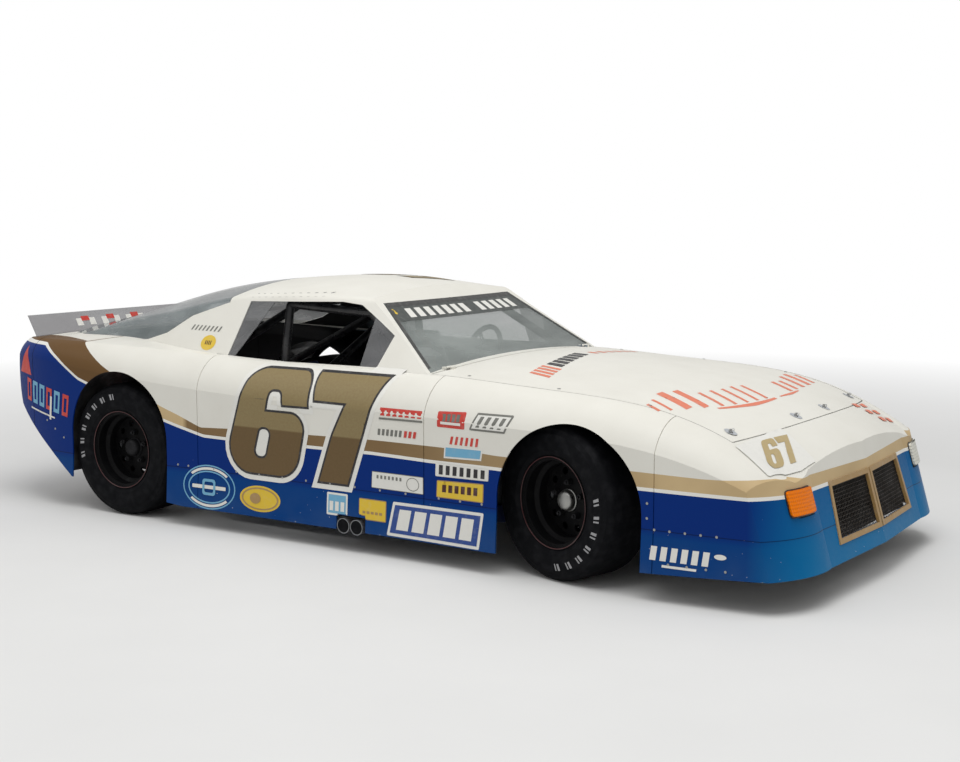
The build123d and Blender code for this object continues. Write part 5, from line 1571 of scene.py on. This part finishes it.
def pad_form(low, high, thickness):
    """A crowned pad with cross channels over its flat underside, and the way it faces."""
    run = high - low
    normal = Vector((-run.z, 0, run.x)).normalized()
    normal = -normal if normal.z < 0 else normal
    points, faces = [], []
    for top in (False, True):
        for i in range(PAD_ROWS):
            for j in range(PAD_COLUMNS):
                u, v = i / (PAD_ROWS - 1), 2 * j / (PAD_COLUMNS - 1) - 1
                crown = (1 - abs(2 * u - 1) ** 4) * (1 - abs(v) ** 4)
                channel = PAD_CHANNEL * (math.cos(math.tau * PAD_CHANNELS * u) > 0.85)
                lift = thickness * (PAD_RIM + (PAD_CROWN * crown ** 0.5 - channel * crown))
                across = Vector((0, SEAT_Y + PAD_HALF * v, 0))
                points.append(low + run * u + across + normal * (lift if top else 0.0))
    size = PAD_ROWS * PAD_COLUMNS
    for a in (i * PAD_COLUMNS + j for i in range(PAD_ROWS - 1) for j in range(PAD_COLUMNS - 1)):
        quad = [a, a + 1, a + PAD_COLUMNS + 1, a + PAD_COLUMNS]
        faces += [quad[::-1], [size + corner for corner in quad]]
    rim = list(range(PAD_COLUMNS)) + [(i + 1) * PAD_COLUMNS - 1 for i in range(1, PAD_ROWS)]
    rim += [size - 2 - j for j in range(PAD_COLUMNS - 1)]
    rim += [i * PAD_COLUMNS for i in range(PAD_ROWS - 2, 0, -1)]
    for a, b in zip(rim, rim[1:] + rim[:1]):
        faces.append([a, b, size + b, size + a])
    return points, faces, normal


class RACECAR_OT_cockpit(bpy.types.Operator):
    """Fit the seat's pads and belts, the gauges and the shift lever"""

    bl_idname = "race_car.cockpit"
    bl_label = "Cockpit"

    def execute(self, context):
        """Dress the cabin."""
        self.pads()
        self.belts()
        self.gauges()
        self.steering_wheel()
        self.lever()
        return {"FINISHED"}

    @staticmethod
    def pads():
        """Two crowned pads in the seat's shell."""
        for name, low, high, thickness in PADS:
            points, faces, normal = pad_form(Vector(low), Vector(high), thickness)
            made = piece(name, points, faces, "seat cover")
            stuffed(made, points[0], normal)
            smooth = made.modifiers.new("smooth", "SUBSURF")
            smooth.levels = smooth.render_levels = 1

    @staticmethod
    def belts():
        """Flat shoulder and lap straps laid over the pads."""
        heap = Heap()
        for side in (-1, 1):
            for rows, half, across in STRAPS:
                across = Vector(across).normalized() * half
                path = [Vector((x, SEAT_Y + side * out, z)) for x, out, z in rows]
                points, faces = [], []
                for i, point in enumerate(path):
                    along = (path[min(i + 1, len(path) - 1)] - path[max(i - 1, 0)]).normalized()
                    normal = along.cross(across).normalized() * STRAP_SHEET
                    points += [point - across - normal, point + across - normal,
                               point + across + normal, point - across + normal]
                for i in range(len(path) - 1):
                    faces += loop_faces(4, 4 * i)
                heap.add(points, faces + [[3, 2, 1, 0], [len(points) - 4 + k for k in range(4)]])
        heap.piece("belts", "belt webbing", "seat_pad")

    @staticmethod
    def gauges():
        """Round gauges on the dash, with bezels, pale faces and needles."""
        bezels, faces, needles = Heap(), Heap(), Heap()
        dash_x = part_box("dash_panel")[1].x - 0.0035
        for y, z, radius in GAUGES:
            place = turned((dash_x, y, z), 90, "Z")
            bezels.lathe([(out, radius - inset) for out, inset in BEZEL], place, 32)
            faces.lathe(((0.004, radius - 0.004), (0.0045, 0.0)), place, 32, closed=False)
            tip = Vector((0, 0, radius - 0.01))
            tip.rotate(Matrix.Rotation(y * 9.0, 3, "X"))
            spot = Vector((dash_x - 0.006, y, z))
            needles.tube([spot, spot + tip], 0.0012, 5)
        bezels.piece("gauge_bezels", "plated steel", "sheet_metal")
        faces.piece("gauge_faces", "sign white", "sheet_metal")
        needles.piece("gauge_needles", "sign red", "sheet_metal")

    @staticmethod
    def steering_wheel():
        """A padded ring on three drilled spokes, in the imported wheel's place."""
        joint = JOINTS["steering_wheel_turn"]
        axis, across = Vector(joint["axis"]).normalized(), Vector((0, 1, 0))
        place = framed(Vector(joint["pos_m"]), across, axis, across.cross(axis))
        ring, spokes = Heap(), Heap()
        section = [(GRIP_DEEP * math.sin(turn), RING_RADIUS + GRIP_WIDE * math.cos(turn))
                   for turn in turns(14)]
        ring.lathe(section, place)
        wheel = ring.piece("wheel_ring", "grip", "grip", "steering_wheel")
        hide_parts("steering_wheel")
        holes = [oval(0.0, radius, SPOKE_HOLE, SPOKE_HOLE, 14) for radius in SPOKE_HOLES]
        flat, faces = filled([spots(SPOKE)] + holes, 0.03)
        for angle in SPOKE_ANGLES:
            turn = place @ Matrix.Rotation(math.radians(angle), 4, "Y")
            for back in SPOKE_FACES:
                dish = [Vector((p.x, back - SPOKE_DISH * (1 - p.y / SPOKE_REACH), p.y)) for p in flat]
                spokes.add([turn @ point for point in dish], faces)
        spokes.lathe(WHEEL_BOSS, place, 32, closed=False)
        spokes.piece("wheel_spokes", "machined steel", "grip", "steering_wheel")

    @staticmethod
    def lever():
        """The shift lever on the tunnel, with its boot and knob."""
        boot, rod = Heap(), Heap()
        folds = [(0.006 + 0.008 * k, 0.05 - 0.009 * (k // 2) - 0.006 * (k % 2)) for k in range(7)]
        section = [(0.0, 0.06)] + folds + [(0.06, 0.01)]
        boot.lathe(section, turned(LEVER_FOOT, 90, "X"), 32, closed=False)
        boot.piece("lever_boot", "grip", "grip")
        top = LEVER_FOOT + LEVER_TOP
        rod.tube([LEVER_FOOT + Vector((0, 0, 0.03)), LEVER_FOOT + LEVER_BEND, top], 0.007)
        ball = [math.radians(-80 + 16 * k) for k in range(11)]
        rod.lathe([on_circle(KNOB, a) for a in ball], turned(top, 90, "X"), 20, closed=False)
        rod.piece("shift_lever", "dark plastic", "grip")


# Coil-over units on the left side: foot and head
COIL_UNITS = (
    ((1.231, 0.56, 0.232), (1.231, 0.374, 0.538)),
    ((-1.376, 0.56, 0.388), (-1.376, 0.56, 0.638)),
)
COIL_RADIUS, COIL_WIRE, COIL_TURNS, COIL_STEPS = 0.036, 0.0055, 9, 16
COIL_FOOT, COIL_HEAD = 0.068, 0.044
# Exhaust pipes' ends on the right rocker, and their radius
PIPE_ENDS = ((0.062, -0.968, 0.1235), (0.14, -0.968, 0.1235))
PIPE_RADIUS = 0.036
# The rolled lip of a pipe: out from its end, and how far over or under its radius
PIPE_LIP = ((-0.004, 0.0006), (0.003, 0.0006), (0.0035, -0.001), (0.003, -0.003), (0.001, -0.003))
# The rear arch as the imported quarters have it: its middle along the car, its height and its radius
REAR_ARCH = (-1.422, 0.418, 0.343)
# The arch's lining: its room round the arch, its edges across the car, its foot, and steps over the arch
HOUSE_ROOM, HOUSE_INNER_Y, HOUSE_OUTER_Y, HOUSE_FOOT, HOUSE_STEPS = 0.032, 0.62, 0.93, 0.2, 24


class RACECAR_OT_running_gear(bpy.types.Operator):
    """Wind the coil springs round their dampers, mouth the pipes and line the rear arches"""

    bl_idname = "race_car.running_gear"
    bl_label = "Running gear"

    def execute(self, context):
        """Make the springs and dampers, the pipes' mouths and the linings."""
        springs, dampers = Heap(), Heap()
        for foot, head in COIL_UNITS:
            for side in (1, -1):
                self.unit(springs, dampers, at(foot, side), at(head, side))
        coils = springs.piece("coil_springs", "spring enamel", "springs")
        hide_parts("coil_shocks")
        dampers.piece("dampers", "plated steel", "springs")
        self.pipe_mouths()
        self.wheel_houses()
        return {"FINISHED"}

    @staticmethod
    def unit(springs, dampers, foot, head):
        """One spring between its seats, with the damper's body, rod and eyes."""
        run = head - foot
        size, rod_foot, seat = run.length, run.length * 0.62, COIL_RADIUS - 0.002
        place = Matrix.Translation(foot) @ run.to_track_quat("Y", "Z").to_matrix().to_4x4()
        steps = COIL_TURNS * COIL_STEPS
        path = []
        for k in range(steps + 1):
            angle = math.tau * k / COIL_STEPS
            height = COIL_FOOT + (size - COIL_HEAD - COIL_FOOT) * k / steps
            path.append(place @ Vector((math.cos(angle) * (COIL_RADIUS - COIL_WIRE), height,
                                        math.sin(angle) * (COIL_RADIUS - COIL_WIRE))))
        springs.tube(path, COIL_WIRE, 8)
        dampers.lathe(((0.0, 0.0), (0.0, 0.012), (0.028, 0.012), (0.034, 0.022), (0.062, 0.022),
                       (0.062, COIL_RADIUS), (0.066, COIL_RADIUS), (0.066, 0.02), (rod_foot, 0.02),
                       (rod_foot, 0.007), (size - 0.04, 0.007), (size - 0.04, seat), (size - 0.036, seat),
                       (size - 0.036, 0.012), (size, 0.012), (size, 0.0)), place, 28, closed=False)

    @staticmethod
    def pipe_mouths():
        """A rolled lip on the end of each exhaust pipe, and a black disc just inside it: the bore's soot,
        and painted shade of the pipe's inside.
        """
        lips, bore_shades = Heap(), Heap()
        for end in PIPE_ENDS:
            place = turned(end, 180, "Z")
            lips.lathe([(out, PIPE_RADIUS + over) for out, over in PIPE_LIP], place, 40)
            # Painted shade: a black disc just inside the mouth, for the sooty and shaded inside of the
            # pipe
            bore_shades.lathe(((0.0012, PIPE_RADIUS - 0.0025), (0.0012, 0.0)), place, 40, closed=False)
        lips.piece("pipe_lips", "machined steel", "pipes")
        bore_shades.piece("pipe_bores", "racing rubber", "pipes")

    @staticmethod
    def wheel_houses():
        """Thin dark sheets that line the rear arches, clear of the tyres: like real wheel tubs, and dark
        as painted shade inside the arches.
        """
        x_mid, z_mid, radius = REAR_ARCH
        radius += HOUSE_ROOM
        arc = oval(x_mid, z_mid, radius, radius, 2 * HOUSE_STEPS)[:HOUSE_STEPS + 1]
        path = [Vector((x_mid + radius, HOUSE_FOOT)), *arc, Vector((x_mid - radius, HOUSE_FOOT))]
        for label, side, cast in SIDES:
            heap, points, faces = Heap(), [], []
            for point in path:
                rim = cast.throw(point, -0.006)
                outer, inner = rim.y if rim else side * HOUSE_OUTER_Y, side * HOUSE_INNER_Y
                back = point + (point - Vector((x_mid, min(point.y, z_mid)))).normalized() * SHEET
                points += [(point.x, outer, point.y), (point.x, inner, point.y),
                           (back.x, inner, back.y), (back.x, outer, back.y)]
            for k in range(len(path) - 1):
                faces += loop_faces(4, 4 * k)
            heap.add(points, faces + [[0, 1, 2, 3], [len(points) - 4 + k for k in range(4)]])
            # Painted shade: the lining's dark finish stands for the shade inside the arch
            heap.piece("wheel_house_" + label, "dark plastic", "sheet_metal")


# The air cleaner: its place along the car, its lid, base and wing nut as up from the lid, and radius
CLEANER_X = 1.04
CLEANER_LID = ((0.0, 0.0), (0.0, 0.03), (0.004, 0.034), (0.004, 0.15), (0.0, 0.186), (-0.012, 0.187),
               (-0.012, 0.183), (-0.003, 0.181))
CLEANER_BASE = ((-0.058, 0.181), (-0.07, 0.186), (-0.074, 0.187), (-0.074, 0.182))
CLEANER_NUT = ((0.004, 0.012), (0.012, 0.01), (0.02, 0.005), (0.021, 0.0))
# Its element: number of pleats, inner and outer radius, and how far down it starts and ends
PLEATS, PLEAT_RADII, PLEAT_DEPTHS = 96, (0.1812, 0.1835), (0.012, 0.06)


class RACECAR_OT_engine_dress(bpy.types.Operator):
    """Dress the engine with its air cleaner"""

    bl_idname = "race_car.engine_dress"
    bl_label = "Engine dress"

    def execute(self, context):
        """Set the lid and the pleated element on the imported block."""
        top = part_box("engine_block")[1].z
        upright = turned((CLEANER_X, 0, top), 90, "X")
        cleaner, pleats = Heap(), Heap()
        for section, segments in ((CLEANER_LID, 72), (CLEANER_BASE, 72), (CLEANER_NUT, 16)):
            cleaner.lathe(section, upright, segments, closed=False)
        cleaner.piece("cleaner_lid", "plated steel", "engine")
        points = []
        for depth in PLEAT_DEPTHS:
            for k, turn in enumerate(turns(2 * PLEATS)):
                radius = PLEAT_RADII[k % 2]
                points.append((CLEANER_X + radius * math.cos(turn), radius * math.sin(turn), top - depth))
        pleats.add(points, loop_faces(2 * PLEATS))
        pleats.piece("cleaner_element", "sign red", "engine", smooth=False)
        return {"FINISHED"}


CAMERA_PLACE, CAMERA_LOOK, SENSOR = (4.4799, -6.5306, 1.6571), (-0.5446, 0.8301, -0.119), 36.0
# Lamps: the setting of their power, and place; then their size and what they point at
LAMPS = (("key", (2.0, -2.0, 8.8)), ("fill", (-6.0, -4.5, 7.0)))
LAMP_SIZE, LAMP_AIM = 6.0, Vector((0, 0, 0.5))
FLOOR_HALF, FADE_NEAR, FADE_FAR = 60.0, 3.4, 9.0
FLOOR_PALE, FLOOR_DARK, FLOOR_BOUNCE = (0.78, 0.78, 0.77), (0.72, 0.72, 0.71), (0.68, 0.68, 0.67)


def aim(thing, place, direction):
    """Set a camera or a lamp at a place and turn it to a direction."""
    thing.location = place
    thing.rotation_mode = "QUATERNION"
    thing.rotation_quaternion = Vector(direction).to_track_quat("-Z", "Y")


class RACECAR_OT_stage(bpy.types.Operator):
    """Set the camera, the lamps and the pale floor"""

    bl_idname = "race_car.stage"
    bl_label = "Stage"

    def execute(self, context):
        """Place the camera, then the light, then the floor."""
        self.camera()
        self.sky()
        for name, place in LAMPS:
            data = bpy.data.lights.new(name, "AREA")
            data.energy, data.size = getattr(settings("stage"), name), LAMP_SIZE
            aim(put(name, data), place, LAMP_AIM - Vector(place))
        self.floor()
        context.scene.view_settings.view_transform = "Standard"
        return {"FINISHED"}

    @staticmethod
    def camera():
        """The photograph's view: from ahead on the car's right, at standing height."""
        data = bpy.data.cameras.new("camera")
        data.lens, data.sensor_width = settings("stage").lens, SENSOR
        camera = put("camera", data)
        aim(camera, CAMERA_PLACE, CAMERA_LOOK)
        bpy.context.scene.camera = camera

    @staticmethod
    def sky():
        """Even light on the car, and white where the camera sees past it."""
        world = bpy.data.worlds.new("sky")
        world.use_nodes = True
        nodes, links = world.node_tree.nodes, world.node_tree.links
        path, strength, seen = (nodes.new("ShaderNode" + kind) for kind in ("LightPath", "Mix", "Math"))
        seen.operation = "MAXIMUM"
        links.new(path.outputs["Is Camera Ray"], seen.inputs[0])
        links.new(path.outputs["Is Transmission Ray"], seen.inputs[1])
        links.new(seen.outputs[0], strength.inputs[0])
        strength.inputs[2].default_value = settings("stage").sky
        strength.inputs[3].default_value = 1.0
        links.new(strength.outputs[0], nodes["Background"].inputs["Strength"])
        nodes["Background"].inputs["Color"].default_value = (1, 1, 1, 1)
        bpy.context.scene.world = world

    @staticmethod
    def floor():
        """A broad pale floor that fades into the white behind."""
        sketch = Sketch("floor")
        seen = sketch.nodes.new("ShaderNodeLightPath").outputs["Is Camera Ray"]
        shade = sketch.blend(sketch.patches(1.5, 0.0, 0.3, 6.0), FLOOR_PALE, FLOOR_DARK)
        sketch.shade(sketch.blend(seen, FLOOR_BOUNCE, shade), 0.8, Specular_IOR_Level=0.1)
        distance = sketch.nodes.new("ShaderNodeVectorMath")
        distance.operation = "LENGTH"
        sketch.feed(distance.inputs[0], sketch.place)
        far = sketch.spread(distance.outputs["Value"], FADE_NEAR, FADE_FAR)
        mixer = sketch.nodes.new("ShaderNodeMixShader")
        white = sketch.nodes.new("ShaderNodeEmission")
        for socket, source in zip(mixer.inputs, (sketch.times(far, seen), sketch.shader.outputs[0],
                                                 white.outputs[0])):
            sketch.feed(socket, source)
        sketch.feed(sketch.nodes["Material Output"].inputs["Surface"], mixer.outputs[0])
        mesh = bpy.data.meshes.new("floor")
        corners = [(x * FLOOR_HALF, y * FLOOR_HALF, 0) for x, y in ((-1, -1), (1, -1), (1, 1), (-1, 1))]
        mesh.from_pydata(corners, [], [[0, 1, 2, 3]])
        mesh.materials.append(sketch.material)
        floor = put("floor", mesh)


STEPS = (
    RACECAR_OT_finishes, RACECAR_OT_tyres, RACECAR_OT_wheels, RACECAR_OT_grille, RACECAR_OT_lamps,
    RACECAR_OT_numbers, RACECAR_OT_signs, RACECAR_OT_fasteners, RACECAR_OT_glazing, RACECAR_OT_cockpit,
    RACECAR_OT_running_gear, RACECAR_OT_engine_dress, RACECAR_OT_stage,
)
GROUPS = (
    ("paint", PaintSettings), ("wheel", WheelSettings), ("trim", TrimSettings), ("stage", StageSettings),
)


class RACECAR_PT_panel(bpy.types.Panel):
    """Lists the car's settings and steps"""

    bl_idname = "RACECAR_PT_panel"
    bl_label = "Race car"
    bl_space_type = "VIEW_3D"
    bl_region_type = "UI"
    bl_category = "Race car"

    def draw(self, context):
        """Show each group of settings, then a button for each step."""
        for name, group in GROUPS:
            box = self.layout.box()
            for setting in group.__annotations__:
                box.prop(getattr(context.scene, "race_car_" + name), setting)
        for step in STEPS:
            self.layout.operator(step.bl_idname)


def register():
    """Add the settings, the steps and the panel."""
    for name, group in GROUPS:
        bpy.utils.register_class(group)
        setattr(bpy.types.Scene, "race_car_" + name, PointerProperty(type=group))
    for step in STEPS:
        bpy.utils.register_class(step)
    bpy.utils.register_class(RACECAR_PT_panel)


def unregister():
    """Take them all away again."""
    bpy.utils.unregister_class(RACECAR_PT_panel)
    for step in reversed(STEPS):
        bpy.utils.unregister_class(step)
    for name, group in reversed(GROUPS):
        delattr(bpy.types.Scene, "race_car_" + name)
        bpy.utils.unregister_class(group)


def main():
    """Run every step in order."""
    register()
    for step in STEPS:
        group, name = step.bl_idname.split(".")
        getattr(getattr(bpy.ops, group), name)()


if __name__ == "__main__":
    main()
